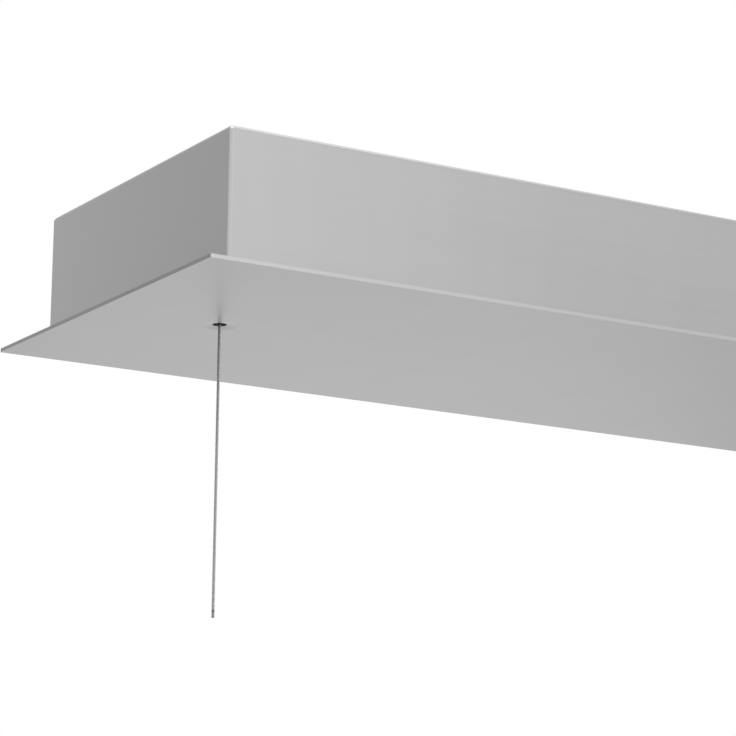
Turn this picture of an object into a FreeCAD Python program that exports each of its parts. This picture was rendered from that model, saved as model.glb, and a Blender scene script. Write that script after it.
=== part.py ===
import FreeCAD, Part
import Sketcher
import math
import os

# Ceiling canopy of a linear hanging light, in millimetres.
# Origin: middle of the face that lies against the ceiling. X runs along the canopy, +Z points up,
# so every piece lies below z = 0. The two wire ropes hang at the ends, on the centre line.

doc = FreeCAD.newDocument("hanging_light_canopy")
sheet = doc.addObject("Spreadsheet::Sheet", "sizes")

DRIVING_SIZES = [
    # ceiling pan, folded from one sheet
    ("pan_length", 610.0, "outside, along X"),
    ("pan_width", 127.0, "outside, along Y"),
    ("pan_height", 44.8, "outside, ceiling face to open rim"),
    ("pan_sheet", 1.2, "sheet thickness"),
    ("pan_bend", 1.4, "outer radius of the folds"),
    ("pan_corner", 1.2, "outer radius of the upright corners"),
    ("relief_drop", 1.6, "corner relief at the rear corners, downwards"),
    ("relief_run", 3.3, "corner relief at the rear corners, along the end wall"),
    ("relief_reach", 2.4, "corner relief at the rear corners, along X"),
    ("feed_hole", 22.2, "supply cable entry, a half inch trade size hole"),
    ("box_slot_spacing", 79.4, "junction box slots, centre to centre"),
    ("box_slot_length", 24.0, "end to end"),
    ("box_slot_width", 5.0, "clears a number 8 screw"),
    ("anchor_spacing_long", 480.0, "ceiling anchor holes along X"),
    ("anchor_spacing_wide", 76.0, "ceiling anchor holes along Y"),
    ("anchor_hole", 6.5, "diameter"),
    # cover plate
    ("plate_sheet", 1.2, "sheet thickness"),
    ("plate_overhang", 12.2, "how far the plate stands out past the pan"),
    ("plate_corner", 0.5, "radius of the plate's corners in plan"),
    ("rim_gap", 0.2, "pan rim to plate"),
    ("cable_hole", 4.8, "diameter"),
    ("cable_inset", 31.5, "cable to the pan's end face"),
    ("dimple_width", 12.0, "pressed dimple around each cable hole, diameter"),
    ("dimple_depth", 0.4, "how far the dimple is drawn inwards"),
    ("tab_sheet", 1.5, "thickness of the locating tabs"),
    ("tab_length", 30.0, "along the wall"),
    ("tab_rise", 10.0, "height above the plate"),
    ("tab_foot", 11.0, "width of the welded foot"),
    ("tab_clearance", 0.5, "tab to pan wall"),
    ("tab_spacing", 240.0, "tabs on the long walls, centre to centre"),
    ("tab_bend", 2.0, "outer bend radius"),
    # wire rope and its gripper
    ("rope", 1.0, "diameter of the wire rope"),
    ("rope_below_plate", 95.0, "length that hangs below the plate"),
    ("rope_tail", 1.0, "tail that stands out of the coupler"),
    ("rope_end_length", 2.0, "fused end"),
    ("rope_end", 1.1, "diameter of the fused end"),
    ("hanger_drop", 13.8, "pan top to the underside of the gripper bracket"),
    ("hanger_sheet", 2.0, "thickness of the gripper bracket"),
    ("hanger_width", 24.0, "along Y"),
    ("hanger_web", 26.0, "web of the hat section, along X"),
    ("hanger_foot", 9.0, "each foot, along X"),
    ("hanger_bend", 2.6, "outer bend radius"),
    ("coupler_thread", 10.0, "upper thread of the coupler"),
    ("coupler_clearance", 0.3, "hole in the bracket over the thread"),
    ("coupler_shoulder", 14.0, "diameter of the shoulder"),
    ("coupler_shoulder_height", 2.0, "thickness of the shoulder"),
    ("coupler_stud_past_nut", 0.5, "thread that stands out of the nut"),
    ("coupler_spigot", 8.0, "lower thread of the coupler"),
    ("coupler_spigot_length", 4.0, "reach into the barrel"),
    ("coupler_bore", 2.0, "passage for the rope"),
    ("thread_fit", 0.05, "radial clearance drawn between threads"),
    ("nut_height", 2.5, "thin hexagon nut"),
    ("nut_flats", 14.0, "across flats"),
    ("barrel", 12.5, "outer diameter"),
    ("barrel_length", 18.0, "below the shoulder"),
    ("barrel_chamfer", 1.2, "lower edge"),
    ("barrel_chamber", 6.8, "bore that holds the spring"),
    ("cone_length", 6.0, "clamping cone"),
    ("cone_angle", 10.0, "half angle in degrees"),
    ("cone_mouth", 3.7, "narrow end of the cone"),
    ("nose_guide", 1.5, "length of the hole that guides the plunger"),
    ("groove_depth", 0.5, "grip grooves round the barrel"),
    ("groove_width", 1.2, "grip grooves round the barrel"),
    ("plunger", 3.4, "outer diameter of the release plunger"),
    ("plunger_bore", 1.5, "passage for the rope"),
    ("plunger_fit", 0.05, "radial clearance in its guide"),
    ("plunger_nose", 3.5, "length that stands out of the barrel"),
    ("plunger_collar", 5.0, "diameter of the spring seat"),
    ("plunger_collar_height", 1.0, "thickness of the spring seat"),
    ("plunger_collar_rise", 4.0, "ball centre to the collar's underside"),
    ("plunger_stem", 0.8, "stem above the collar"),
    ("plunger_travel", 2.0, "press that frees the rope"),
    ("ball", 1.5, "diameter of the clamping balls"),
    ("ball_count", 3.0, "balls in each gripper"),
    ("ball_fit", 0.03, "clearance of a ball to rope and cone"),
    ("window_fit", 0.06, "radial clearance of a ball in its window"),
    ("spring_wire", 0.4, "wire diameter"),
    ("spring_coil", 4.5, "mean coil diameter"),
    ("spring_turns", 5.0, "turns"),
    ("spring_seat_gap", 0.05, "drawn between spring and seats"),
    # magnetic catches
    ("catch_spacing", 380.0, "catches along X"),
    ("catch_sheet", 1.2, "thickness of the catch brackets"),
    ("catch_width", 24.0, "along X"),
    ("catch_leg", 16.0, "welded leg, up the wall"),
    ("catch_reach", 17.0, "reach inwards from the wall"),
    ("catch_bend", 2.0, "outer bend radius"),
    ("cup", 12.0, "magnet cup diameter"),
    ("cup_height", 4.5, "magnet cup height"),
    ("cup_wall", 1.2, "wall of the cup"),
    ("magnet", 9.4, "magnet ring diameter"),
    ("magnet_height", 3.0, "magnet thickness"),
    ("magnet_recess", 0.2, "magnet below the cup's rim"),
    ("magnet_gap", 0.1, "cup rim to cover plate"),
    ("rivet", 3.0, "diameter of the cup's rivet"),
    ("rivet_head", 5.6, "head diameter"),
    ("rivet_head_height", 1.0, "head height"),
    ("hole_fit", 0.1, "radial clearance of a rivet or screw in its hole"),
    # light source driver
    ("driver_length", 190.0, "without its ears"),
    ("driver_width", 40.0, "along Y"),
    ("driver_height", 29.0, "over base and cover"),
    ("driver_sheet", 0.8, "thickness of base and cover"),
    ("driver_ear", 11.0, "length of each fixing ear"),
    ("driver_ear_slot", 4.4, "slot width in the ears"),
    ("driver_feed_gap", 4.0, "right ear to the supply bushing's flange, along X"),
    ("driver_wall_gap", 5.3, "cover to the pan's rear wall"),
    ("driver_lip", 9.0, "height of the base's side walls"),
    ("driver_fit", 0.2, "cover over base"),
    ("driver_lead_hole", 8.0, "lead holes in the cover's right end"),
    ("driver_lead_spread", 18.0, "lead holes, centre to centre"),
    ("board_sheet", 1.6, "circuit board thickness"),
    ("board_standoff", 5.0, "base to board"),
    ("board_margin", 1.5, "board edge to the base's wall"),
    # terminal blocks
    ("pole_pitch", 10.0, "one pole of a terminal block"),
    ("mains_poles", 3.0, "line, neutral and earth"),
    ("lamp_poles", 2.0, "plus and minus"),
    ("block_depth", 18.0, "wire way, along X"),
    ("block_ridge", 14.0, "raised part over the clamping screws, along X"),
    ("block_height", 14.0, "below the pan top"),
    ("block_ledge", 9.4, "height of the ledges where the wires enter"),
    ("block_wire_level", 6.0, "pan top to the middle of the wire ways"),
    ("block_wire_hole", 3.4, "wire entry diameter"),
    ("block_seat", 9.7, "pan top to the seat of the fixing screw"),
    ("clamp_screw", 3.8, "clamping screw diameter"),
    ("clamp_screw_sink", 1.0, "screw head below the block's top"),
    ("clamp_screw_slot", 0.8, "screwdriver slot"),
    ("mains_feed_gap", 39.5, "mains block to the supply bushing's flange, along X"),
    ("lamp_gland_gap", 4.5, "lamp block to the foot of the gland's bracket, along X"),
    ("block_offset", 2.0, "middle of both blocks in front of the driver's centre line"),
    ("fixing_screw", 3.9, "thread of the screws in the pan"),
    ("fixing_head", 7.0, "their head diameter"),
    ("fixing_head_height", 2.2, "their head height"),
    ("cross_slot", 0.9, "width of the cross recess"),
    # earth
    ("earth_mains_gap", 34.0, "earth screw to the mains block, along X"),
    ("earth_offset", 10.0, "earth screw behind the driver's centre line"),
    ("lug_sheet", 0.8, "thickness of the earth lug"),
    ("lug_ring", 8.0, "ring diameter"),
    ("lug_length", 9.0, "screw to the crimped sleeve"),
    ("lug_neck", 3.2, "width of the neck"),
    ("lug_sleeve", 3.6, "outer diameter of the crimped sleeve"),
    ("lug_sleeve_length", 6.0, "length of the crimped sleeve"),
    # leads
    ("lead", 2.2, "diameter over the insulation"),
    ("lead_pair", 2.6, "spacing of two leads side by side"),
    ("lead_rest", 0.3, "lead to pan top"),
    ("lead_entry", 3.0, "reach of a lead into a terminal"),
    ("lead_step", 4.0, "step that the bends of the leads are laid out in"),
    # cord gland for the lamp's cord
    ("gland_inset", 48.0, "gland inboard of the right rope"),
    ("gland_thread", 12.0, "thread diameter"),
    ("gland_bracket_drop", 14.0, "pan top to the underside of its bracket"),
    ("gland_flats", 15.0, "across flats of the body"),
    ("gland_hex_height", 4.0, "hexagon of the body"),
    ("gland_neck", 6.0, "threaded neck that carries the cap"),
    ("gland_stud", 7.0, "thread above the hexagon"),
    ("gland_cap_gap", 0.8, "hexagon of the body to the cap"),
    ("gland_cap_height", 9.0, "cap"),
    ("gland_cap_flats", 17.0, "across flats of the cap"),
    ("gland_bore", 7.4, "cord passage through body and cap"),
    ("gland_seal_bore", 6.6, "cord passage through the seal"),
    ("gland_seal_wall", 1.4, "radial thickness of the seal"),
    ("gland_seal_height", 5.0, "length of the seal"),
    ("locknut_height", 3.0, "gland locknut"),
    ("cord_hole", 14.0, "hole in the cover plate for the cord bushing"),
    ("bushing_bore", 10.0, "bore of the cord bushing"),
    ("bushing_flange", 18.0, "flange diameter"),
    ("bushing_flange_height", 1.4, "flange below the plate"),
    ("bushing_barb", 0.5, "snap barb past the hole"),
    ("bushing_barb_height", 2.5, "snap barb above the plate"),
    ("feed_bushing_bore", 16.0, "bore of the supply bushing"),
    ("feed_bushing_flange", 27.0, "flange diameter"),
    ("feed_bushing_flange_height", 2.0, "flange below the pan top"),
]


class Size:
    """A number together with the spreadsheet formula that gives it."""

    def __init__(self, value, formula):
        self.value = value
        self.formula = formula

    def __add__(self, other):
        other = as_size(other)
        return Size(self.value + other.value, f"({self.formula} + {other.formula})")

    def __sub__(self, other):
        other = as_size(other)
        return Size(self.value - other.value, f"({self.formula} - {other.formula})")

    def __mul__(self, other):
        other = as_size(other)
        return Size(self.value * other.value, f"({self.formula} * {other.formula})")

    def __truediv__(self, other):
        other = as_size(other)
        return Size(self.value / other.value, f"({self.formula} / {other.formula})")

    def __neg__(self):
        return Size(-self.value, f"(-1 * {self.formula})")

    def __radd__(self, other):
        return as_size(other) + self

    def __rsub__(self, other):
        return as_size(other) - self

    def __rmul__(self, other):
        return as_size(other) * self


def as_size(number):
    return number if isinstance(number, Size) else Size(float(number), repr(float(number)))


def tangent(angle):
    return Size(math.tan(math.radians(angle.value)), f"tan({angle.formula})")


def cosine(angle):
    return Size(math.cos(math.radians(angle.value)), f"cos({angle.formula})")


class Sizes:
    """Every driving size as an attribute, written to the sheet once."""

    def __init__(self):
        for row, (name, value, note) in enumerate(DRIVING_SIZES, start=1):
            sheet.set(f"A{row}", name)
            sheet.set(f"B{row}", repr(value))
            sheet.set(f"C{row}", note)
            sheet.setAlias(f"B{row}", name)
            setattr(self, name, Size(value, f"sizes.{name}"))


S = Sizes()
doc.recompute()


# ---- drawing helpers -------------------------------------------------------------------------


def drive(obj, prop, size):
    """Binds one property to its formula."""
    obj.setExpression(prop, as_size(size).formula)


def place(obj, x=0, y=0, z=0):
    for axis, size in zip("xyz", (x, y, z)):
        if as_size(size).value != 0 or isinstance(size, Size):
            drive(obj, f"Placement.Base.{axis}", size)


def new_body(label):
    body = doc.addObject("PartDesign::Body", label)
    body.Label = label
    return body


def plane_of(body, role):
    return next(f for f in body.Origin.OriginFeatures if f.Role == role)


def sketch_on(body, role, name, height=0):
    """A sketch on one of the body's own origin planes, moved along that plane's normal by height."""
    sketch = body.newObject("Sketcher::SketchObject", name)
    sketch.AttachmentSupport = (plane_of(body, role), [""])
    sketch.MapMode = "FlatFace"
    if isinstance(height, Size):
        drive(sketch, "AttachmentOffset.Base.z", height)
    return sketch


def bind(sketch, kind, geometry, point, length):
    """Holds one coordinate of a point at a distance from the sketch's origin."""
    length = as_size(length)
    if abs(length.value) < 1e-9:
        axis = -2 if kind == "DistanceX" else -1
        sketch.addConstraint(Sketcher.Constraint("PointOnObject", geometry, point, axis))
    elif length.value > 0:
        index = sketch.addConstraint(Sketcher.Constraint(kind, -1, 1, geometry, point, length.value))
        sketch.setExpression(f"Constraints[{index}]", length.formula)
    else:
        index = sketch.addConstraint(Sketcher.Constraint(kind, geometry, point, -1, 1, -length.value))
        sketch.setExpression(f"Constraints[{index}]", (-length).formula)


def outline(sketch, points):
    """Closed outline of straight lines, every corner bound to the sheet."""
    corners = [FreeCAD.Vector(as_size(x).value, as_size(y).value, 0) for x, y in points]
    first = sketch.GeometryCount
    count = len(corners)
    for i in range(count):
        sketch.addGeometry(Part.LineSegment(corners[i], corners[(i + 1) % count]), False)
    for i in range(count):
        sketch.addConstraint(Sketcher.Constraint("Coincident", first + i, 2, first + (i + 1) % count, 1))
    for i, (x, y) in enumerate(points):
        bind(sketch, "DistanceX", first + i, 1, x)
        bind(sketch, "DistanceY", first + i, 1, y)


def rectangle(sketch, length, width, x=0, y=0):
    left, right = x - length / 2, x + length / 2
    front, back = y - width / 2, y + width / 2
    outline(sketch, [(left, front), (right, front), (right, back), (left, back)])


def hexagon(sketch, flats):
    half, side = flats / 2, flats / (2 * math.sqrt(3))
    outline(
        sketch,
        [(side * 2, 0), (side, half), (-side, half), (-side * 2, 0), (-side, -half), (side, -half)],
    )


def circle(sketch, diameter, x=0, y=0):
    centre = FreeCAD.Vector(as_size(x).value, as_size(y).value, 0)
    ring = sketch.addGeometry(Part.Circle(centre, FreeCAD.Vector(0, 0, 1), diameter.value / 2), False)
    index = sketch.addConstraint(Sketcher.Constraint("Diameter", ring, diameter.value))
    sketch.setExpression(f"Constraints[{index}]", diameter.formula)
    bind(sketch, "DistanceX", ring, 3, x)
    bind(sketch, "DistanceY", ring, 3, y)


def slot(sketch, length, width, x=0, y=0):
    """A round-ended slot along the sketch's X, given by its end-to-end length."""
    x, y = as_size(x), as_size(y)
    radius, reach = width.value / 2, (length.value - width.value) / 2
    centres = [x + (length - width) / 2, x - (length - width) / 2]
    normal = FreeCAD.Vector(0, 0, 1)
    arcs = []
    for centre, start in zip(centres, (-math.pi / 2, math.pi / 2)):
        ring = Part.Circle(FreeCAD.Vector(centre.value, y.value, 0), normal, radius)
        arcs.append(sketch.addGeometry(Part.ArcOfCircle(ring, start, start + math.pi), False))
    sides = []
    for side, way in ((1, 1), (-1, -1)):
        start = FreeCAD.Vector(x.value + way * reach, y.value + side * radius, 0)
        end = FreeCAD.Vector(x.value - way * reach, y.value + side * radius, 0)
        sides.append(sketch.addGeometry(Part.LineSegment(start, end), False))
    for arc, side, other in ((arcs[0], sides[0], sides[1]), (arcs[1], sides[1], sides[0])):
        sketch.addConstraint(Sketcher.Constraint("Tangent", arc, 2, side, 1))
        sketch.addConstraint(Sketcher.Constraint("Tangent", other, 2, arc, 1))
    index = sketch.addConstraint(Sketcher.Constraint("Diameter", arcs[0], width.value))
    sketch.setExpression(f"Constraints[{index}]", width.formula)
    for arc, centre in zip(arcs, centres):
        bind(sketch, "DistanceX", arc, 3, centre)
        bind(sketch, "DistanceY", arc, 3, y)


def pad(body, sketch, length, midplane=False, downwards=False):
    feature = body.newObject("PartDesign::Pad", f"{sketch.Name}_pad")
    feature.Profile = sketch
    feature.Midplane = midplane
    feature.Reversed = downwards
    drive(feature, "Length", length)
    return feature


def pocket(body, sketch, depth=None, midplane=False, upwards=False):
    """Cuts against the sketch's normal, right through when no depth is given."""
    feature = body.newObject("PartDesign::Pocket", f"{sketch.Name}_cut")
    feature.Profile = sketch
    feature.Midplane = midplane
    feature.Reversed = upwards
    if depth is None:
        feature.Type = "ThroughAll"
    else:
        drive(feature, "Length", depth)
    return feature


def turn(body, name, points):
    """A turned piece: its half section as (radius, height) points."""
    sketch = sketch_on(body, "XZ_Plane", name)
    outline(sketch, points)
    feature = body.newObject("PartDesign::Revolution", f"{name}_turn")
    feature.Profile = sketch
    feature.ReferenceAxis = (sketch, ["V_Axis"])
    feature.Angle = 360
    return feature


def edges_where(shape, wanted):
    return [f"Edge{i}" for i, edge in enumerate(shape.Edges, start=1) if wanted(edge)]


def straight_along(edge, direction):
    """True for a straight edge that runs along X, Y or Z."""
    if not isinstance(edge.Curve, Part.Line):
        return False
    run = edge.Vertexes[-1].Point - edge.Vertexes[0].Point
    return abs(abs(run.dot(direction)) - run.Length) < 1e-6


def middle(edge):
    return (edge.Vertexes[-1].Point + edge.Vertexes[0].Point) / 2


def round_edges(body, base, radius, wanted, name):
    doc.recompute()
    feature = body.newObject("PartDesign::Fillet", name)
    feature.Base = (base, edges_where(base.Shape, wanted))
    drive(feature, "Radius", radius)
    return feature


def turned(name, points, x, y, z):
    body = new_body(name)
    turn(body, f"{name}_section", points)
    place(body, x, y, z)
    return body


def group(label, pieces):
    """Identical or matching small pieces that stay separate solids in one sub-part."""
    compound = doc.addObject("Part::Compound", label)
    compound.Label = label
    compound.Links = pieces
    return compound


def cylinder(name, diameter, height, x=0, y=0, z=0):
    shape = doc.addObject("Part::Cylinder", name)
    drive(shape, "Radius", diameter / 2)
    drive(shape, "Height", height)
    place(shape, x, y, z)
    return shape


def block(name, length, width, height, x=0, y=0, z=0):
    """A box given by its sizes, the middle of its footprint and its lower face."""
    shape = doc.addObject("Part::Box", name)
    drive(shape, "Length", length)
    drive(shape, "Width", width)
    drive(shape, "Height", height)
    place(shape, x - length / 2, y - width / 2, z)
    return shape


def fused(name, pieces):
    shape = doc.addObject("Part::MultiFuse", name)
    shape.Shapes = pieces
    shape.Refine = True
    return shape


X = FreeCAD.Vector(1, 0, 0)
Y = FreeCAD.Vector(0, 1, 0)
Z = FreeCAD.Vector(0, 0, 1)
WIRE_SIDES = 8

subparts = []

# ---- levels and places that several pieces share ---------------------------------------------

ceiling_inside = -S.pan_sheet
rim = -S.pan_height
plate_top = rim - S.rim_gap
plate_under = plate_top - S.plate_sheet
inner_length = S.pan_length - 2 * S.pan_sheet
inner_width = S.pan_width - 2 * S.pan_sheet
rope_x = S.pan_length / 2 - S.cable_inset
web_under = ceiling_inside - S.hanger_drop
web_top = web_under + S.hanger_sheet
shoulder_under = web_under - S.coupler_shoulder_height
barrel_under = shoulder_under - S.barrel_length
cone_under = barrel_under + S.nose_guide
cone_top = cone_under + S.cone_length
coupler_top = web_top + S.nut_height + S.coupler_stud_past_nut
cone_slope = tangent(S.cone_angle)
ball_orbit = (S.rope + S.ball) / 2 + S.ball_fit
ball_wall = ball_orbit + (S.ball / 2 + S.ball_fit) / cosine(S.cone_angle)
ball_level = cone_under + (ball_wall - S.cone_mouth / 2) / cone_slope
collar_under = ball_level + S.plunger_collar_rise
collar_top = collar_under + S.plunger_collar_height
spigot_under = shoulder_under - S.coupler_spigot_length
gland_x = rope_x - S.gland_inset
gland_web_under = ceiling_inside - S.gland_bracket_drop
driver_end = -S.feed_bushing_flange / 2 - S.driver_feed_gap - S.driver_ear
driver_x = driver_end - S.driver_length / 2
driver_y = inner_width / 2 - S.driver_wall_gap - S.driver_fit - S.driver_sheet - S.driver_width / 2
driver_screw_x = [
    driver_x - S.driver_length / 2 - S.driver_ear / 2,
    driver_x + S.driver_length / 2 + S.driver_ear / 2,
]
mains_x = S.feed_bushing_flange / 2 + S.mains_feed_gap + S.block_depth / 2
lamp_x = gland_x - S.hanger_web / 2 - S.hanger_foot - S.lamp_gland_gap - S.block_depth / 2
block_y = driver_y - S.block_offset
mains_fixing_y = block_y + S.pole_pitch / 2
earth_x = mains_x + S.block_depth / 2 + S.earth_mains_gap
earth_y = driver_y + S.earth_offset
fixing_points = [(x, driver_y) for x in driver_screw_x]
fixing_points += [(mains_x, mains_fixing_y), (lamp_x, block_y), (earth_x, earth_y)]
sides = (("left", -1), ("right", 1))


# ---- ceiling pan -----------------------------------------------------------------------------


def ceiling_pan():
    body = new_body("ceiling_pan")
    blank = sketch_on(body, "XY_Plane", "pan_blank")
    rectangle(blank, S.pan_length, S.pan_width)
    shell = pad(body, blank, S.pan_height, downwards=True)
    corners = round_edges(body, shell, S.pan_corner, lambda e: straight_along(e, Z), "pan_corners")
    round_edges(body, corners, S.pan_bend, lambda e: abs(e.BoundBox.ZMin) < 1e-6, "pan_folds")
    hollow = sketch_on(body, "XY_Plane", "pan_hollow", height=rim)
    rectangle(hollow, inner_length, inner_width)
    pocket(body, hollow, S.pan_height - S.pan_sheet, upwards=True)

    openings = sketch_on(body, "XY_Plane", "pan_openings")
    circle(openings, S.feed_hole)
    for way in (-1, 1):
        slot(openings, S.box_slot_length, S.box_slot_width, x=way * S.box_slot_spacing / 2)
        for side in (-1, 1):
            circle(
                openings,
                S.anchor_hole,
                x=way * S.anchor_spacing_long / 2,
                y=side * S.anchor_spacing_wide / 2,
            )
    for x, y in fixing_points:
        circle(openings, S.fixing_screw + 2 * S.hole_fit, x=x, y=y)
    pocket(body, openings, S.pan_sheet * 2)

    back = S.pan_width / 2
    for side, way in sides:
        relief = sketch_on(
            body, "YZ_Plane", f"pan_corner_relief_{side}", height=way * S.pan_length / 2
        )
        outline(
            relief,
            [
                (back - S.relief_run, 0),
                (back, -S.relief_drop),
                (back + S.relief_run, -S.relief_drop),
                (back + S.relief_run, S.relief_drop),
                (back - S.relief_run, S.relief_drop),
            ],
        )
        pocket(body, relief, S.relief_reach, upwards=way < 0)
    return body


subparts.append(ceiling_pan())


# ---- cover plate -----------------------------------------------------------------------------


def dimple_cone(body, kind, name, x, z):
    cone = body.newObject(f"PartDesign::{kind}", name)
    drive(cone, "Radius1", S.dimple_width / 2)
    drive(cone, "Radius2", S.cable_hole / 2)
    drive(cone, "Height", S.dimple_depth)
    cone.AttachmentSupport = (plane_of(body, "XY_Plane"), [""])
    cone.MapMode = "FlatFace"
    drive(cone, "AttachmentOffset.Base.x", x)
    drive(cone, "AttachmentOffset.Base.z", z)


def cover_plate():
    """Flat plate with a shallow dimple drawn inwards round each cable hole."""
    body = new_body("cover_plate")
    place(body, z=plate_under)
    blank = sketch_on(body, "XY_Plane", "plate_blank")
    rectangle(blank, S.pan_length + 2 * S.plate_overhang, S.pan_width + 2 * S.plate_overhang)
    flat = pad(body, blank, S.plate_sheet)
    round_edges(body, flat, S.plate_corner, lambda e: straight_along(e, Z), "plate_corners")
    for side, way in sides:
        dimple_cone(body, "AdditiveCone", f"plate_dimple_top_{side}", way * rope_x, S.plate_sheet)
        dimple_cone(body, "SubtractiveCone", f"plate_dimple_under_{side}", way * rope_x, 0)
    holes = sketch_on(body, "XY_Plane", "plate_holes")
    for way in (-1, 1):
        circle(holes, S.cable_hole, x=way * rope_x)
    circle(holes, S.cord_hole, x=gland_x)
    pocket(body, holes, upwards=True)
    return body


def angle_profile(sketch, foot, rise, thickness, lean=1):
    """An L section whose foot lies on the sketch's X axis and whose leg stands at x = 0."""
    outline(
        sketch,
        [
            (0, 0),
            (lean * foot, 0),
            (lean * foot, thickness),
            (lean * thickness, thickness),
            (lean * thickness, rise),
            (0, rise),
        ],
    )


def locating_tab(name, plane, lean):
    body = new_body(name)
    profile = sketch_on(body, plane, f"{name}_profile")
    angle_profile(profile, S.tab_foot, S.tab_rise, S.tab_sheet, lean)
    bent = pad(body, profile, S.tab_length, midplane=True)
    run = X if plane == "YZ_Plane" else Y
    round_edges(
        body,
        bent,
        S.tab_bend,
        lambda e: straight_along(e, run) and middle(e).distanceToPoint(FreeCAD.Vector()) < 1e-6,
        f"{name}_bend",
    )
    return body


def plate_tabs():
    """Upright tabs welded on the plate that find the inside of the pan's four walls."""
    tabs = []
    wall = inner_width / 2 - S.tab_clearance
    for side, way in sides:
        for edge, lean in (("front", 1), ("back", -1)):
            tab = locating_tab(f"tab_{edge}_{side}", "YZ_Plane", lean)
            place(tab, x=way * S.tab_spacing / 2, y=-lean * wall, z=plate_top)
            tabs.append(tab)
        end = locating_tab(f"tab_end_{side}", "XZ_Plane", -way)
        place(end, x=way * (inner_length / 2 - S.tab_clearance), z=plate_top)
        tabs.append(end)
    return group("plate_tabs", tabs)


def cord_bushing():
    """Snap bushing that lines the cord's hole in the plate."""
    body = new_body("cord_bushing")
    place(body, x=gland_x, z=plate_under)
    inner, neck = S.bushing_bore / 2, S.cord_hole / 2 - S.thread_fit
    top = S.plate_sheet + S.bushing_barb_height
    turn(
        body,
        "cord_bushing_section",
        [
            (inner, -S.bushing_flange_height),
            (S.bushing_flange / 2, -S.bushing_flange_height),
            (S.bushing_flange / 2, 0),
            (neck, 0),
            (neck, S.plate_sheet),
            (neck + S.bushing_barb, S.plate_sheet + S.bushing_barb),
            (neck - S.bushing_barb, top),
            (inner, top),
        ],
    )
    return body


subparts += [cover_plate(), plate_tabs(), cord_bushing()]


# ---- wire rope grippers ----------------------------------------------------------------------


def hat_bracket(label, web, foot, drop, thickness, width, bend, hole):
    """Hat section with its feet against the pan's top and a hole in its web."""
    body = new_body(label)
    half = web / 2
    profile = sketch_on(body, "XZ_Plane", f"{label}_profile")
    outline(
        profile,
        [
            (-half - foot, 0),
            (thickness - half, 0),
            (thickness - half, thickness - drop),
            (half - thickness, thickness - drop),
            (half - thickness, 0),
            (half + foot, 0),
            (half + foot, -thickness),
            (half, -thickness),
            (half, -drop),
            (-half, -drop),
            (-half, -thickness),
            (-half - foot, -thickness),
        ],
    )
    bent = pad(body, profile, width, midplane=True)
    round_edges(
        body,
        bent,
        bend,
        lambda e: straight_along(e, Y) and abs(middle(e).z + drop.value) < 1e-6,
        f"{label}_bends",
    )
    opening = sketch_on(body, "XY_Plane", f"{label}_hole")
    circle(opening, hole)
    pocket(body, opening, drop + thickness)
    return body


def gripper_coupler(label):
    body = new_body(label)
    bore, thread = S.coupler_bore / 2, S.coupler_thread / 2
    edge = S.coupler_shoulder / 2
    stud = coupler_top - web_under
    turn(
        body,
        f"{label}_section",
        [
            (bore, stud),
            (thread - S.thread_fit * 4, stud),
            (thread, stud - S.thread_fit * 4),
            (thread, 0),
            (edge, 0),
            (edge, -S.coupler_shoulder_height),
            (S.coupler_spigot / 2, -S.coupler_shoulder_height),
            (S.coupler_spigot / 2, -S.coupler_shoulder_height - S.coupler_spigot_length),
            (bore, -S.coupler_shoulder_height - S.coupler_spigot_length),
        ],
    )
    return body


def hexagon_nut(label, flats, height, bore):
    body = new_body(label)
    blank = sketch_on(body, "XY_Plane", f"{label}_blank")
    hexagon(blank, flats)
    pad(body, blank, height)
    opening = sketch_on(body, "XY_Plane", f"{label}_bore")
    circle(opening, bore)
    pocket(body, opening, upwards=True)
    return body


def gripper_barrel(label):
    """Barrel with the clamping cone, drawn down from the coupler's shoulder at height 0."""
    body = new_body(label)
    outer, low = S.barrel / 2, -S.barrel_length
    spigot = S.coupler_spigot / 2 + S.thread_fit
    step = -S.coupler_spigot_length - S.thread_fit
    chamber = S.barrel_chamber / 2
    mouth = S.cone_mouth / 2
    guide = S.plunger / 2 + S.plunger_fit
    cone_low = low + S.nose_guide
    cone_high = cone_low + S.cone_length
    section = [(spigot, 0), (outer, 0)]
    for level in (S.barrel_length * 0.25, S.barrel_length * 0.25 + 2 * S.groove_width):
        section += [
            (outer, -level),
            (outer - S.groove_depth, -level - S.groove_width / 2),
            (outer, -level - S.groove_width),
        ]
    section += [
        (outer, low + S.barrel_chamfer),
        (outer - S.barrel_chamfer, low),
        (guide, low),
        (guide, cone_low),
        (mouth, cone_low),
        (mouth + S.cone_length * cone_slope, cone_high),
        (chamber, cone_high),
        (chamber, step),
        (spigot, step),
    ]
    turn(body, f"{label}_section", section)
    return body


def gripper_plunger(label):
    """Sleeve round the rope: nose to press below, ball windows, collar for the spring above."""
    body = new_body(label)
    outer, bore = S.plunger / 2, S.plunger_bore / 2
    collar = S.plunger_collar / 2
    low = barrel_under - S.plunger_nose - ball_level
    collar_low = S.plunger_collar_rise
    collar_high = collar_low + S.plunger_collar_height
    chamfer = (outer - bore) / 3
    turn(
        body,
        f"{label}_section",
        [
            (bore, low),
            (outer - chamfer, low),
            (outer, low + chamfer),
            (outer, collar_low),
            (collar, collar_low),
            (collar, collar_high),
            (outer, collar_high),
            (outer, collar_high + S.plunger_stem),
            (bore, collar_high + S.plunger_stem),
        ],
    )
    window = sketch_on(body, "YZ_Plane", f"{label}_window")
    circle(window, S.ball + 2 * S.window_fit)
    opening = pocket(body, window, S.plunger, upwards=True)
    doc.recompute()
    windows = body.newObject("PartDesign::PolarPattern", f"{label}_windows")
    windows.Originals = [opening]
    windows.Axis = (plane_of(body, "Z_Axis"), [""])
    windows.Angle = 360
    drive(windows, "Occurrences", S.ball_count)
    body.Tip = windows
    return body


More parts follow.
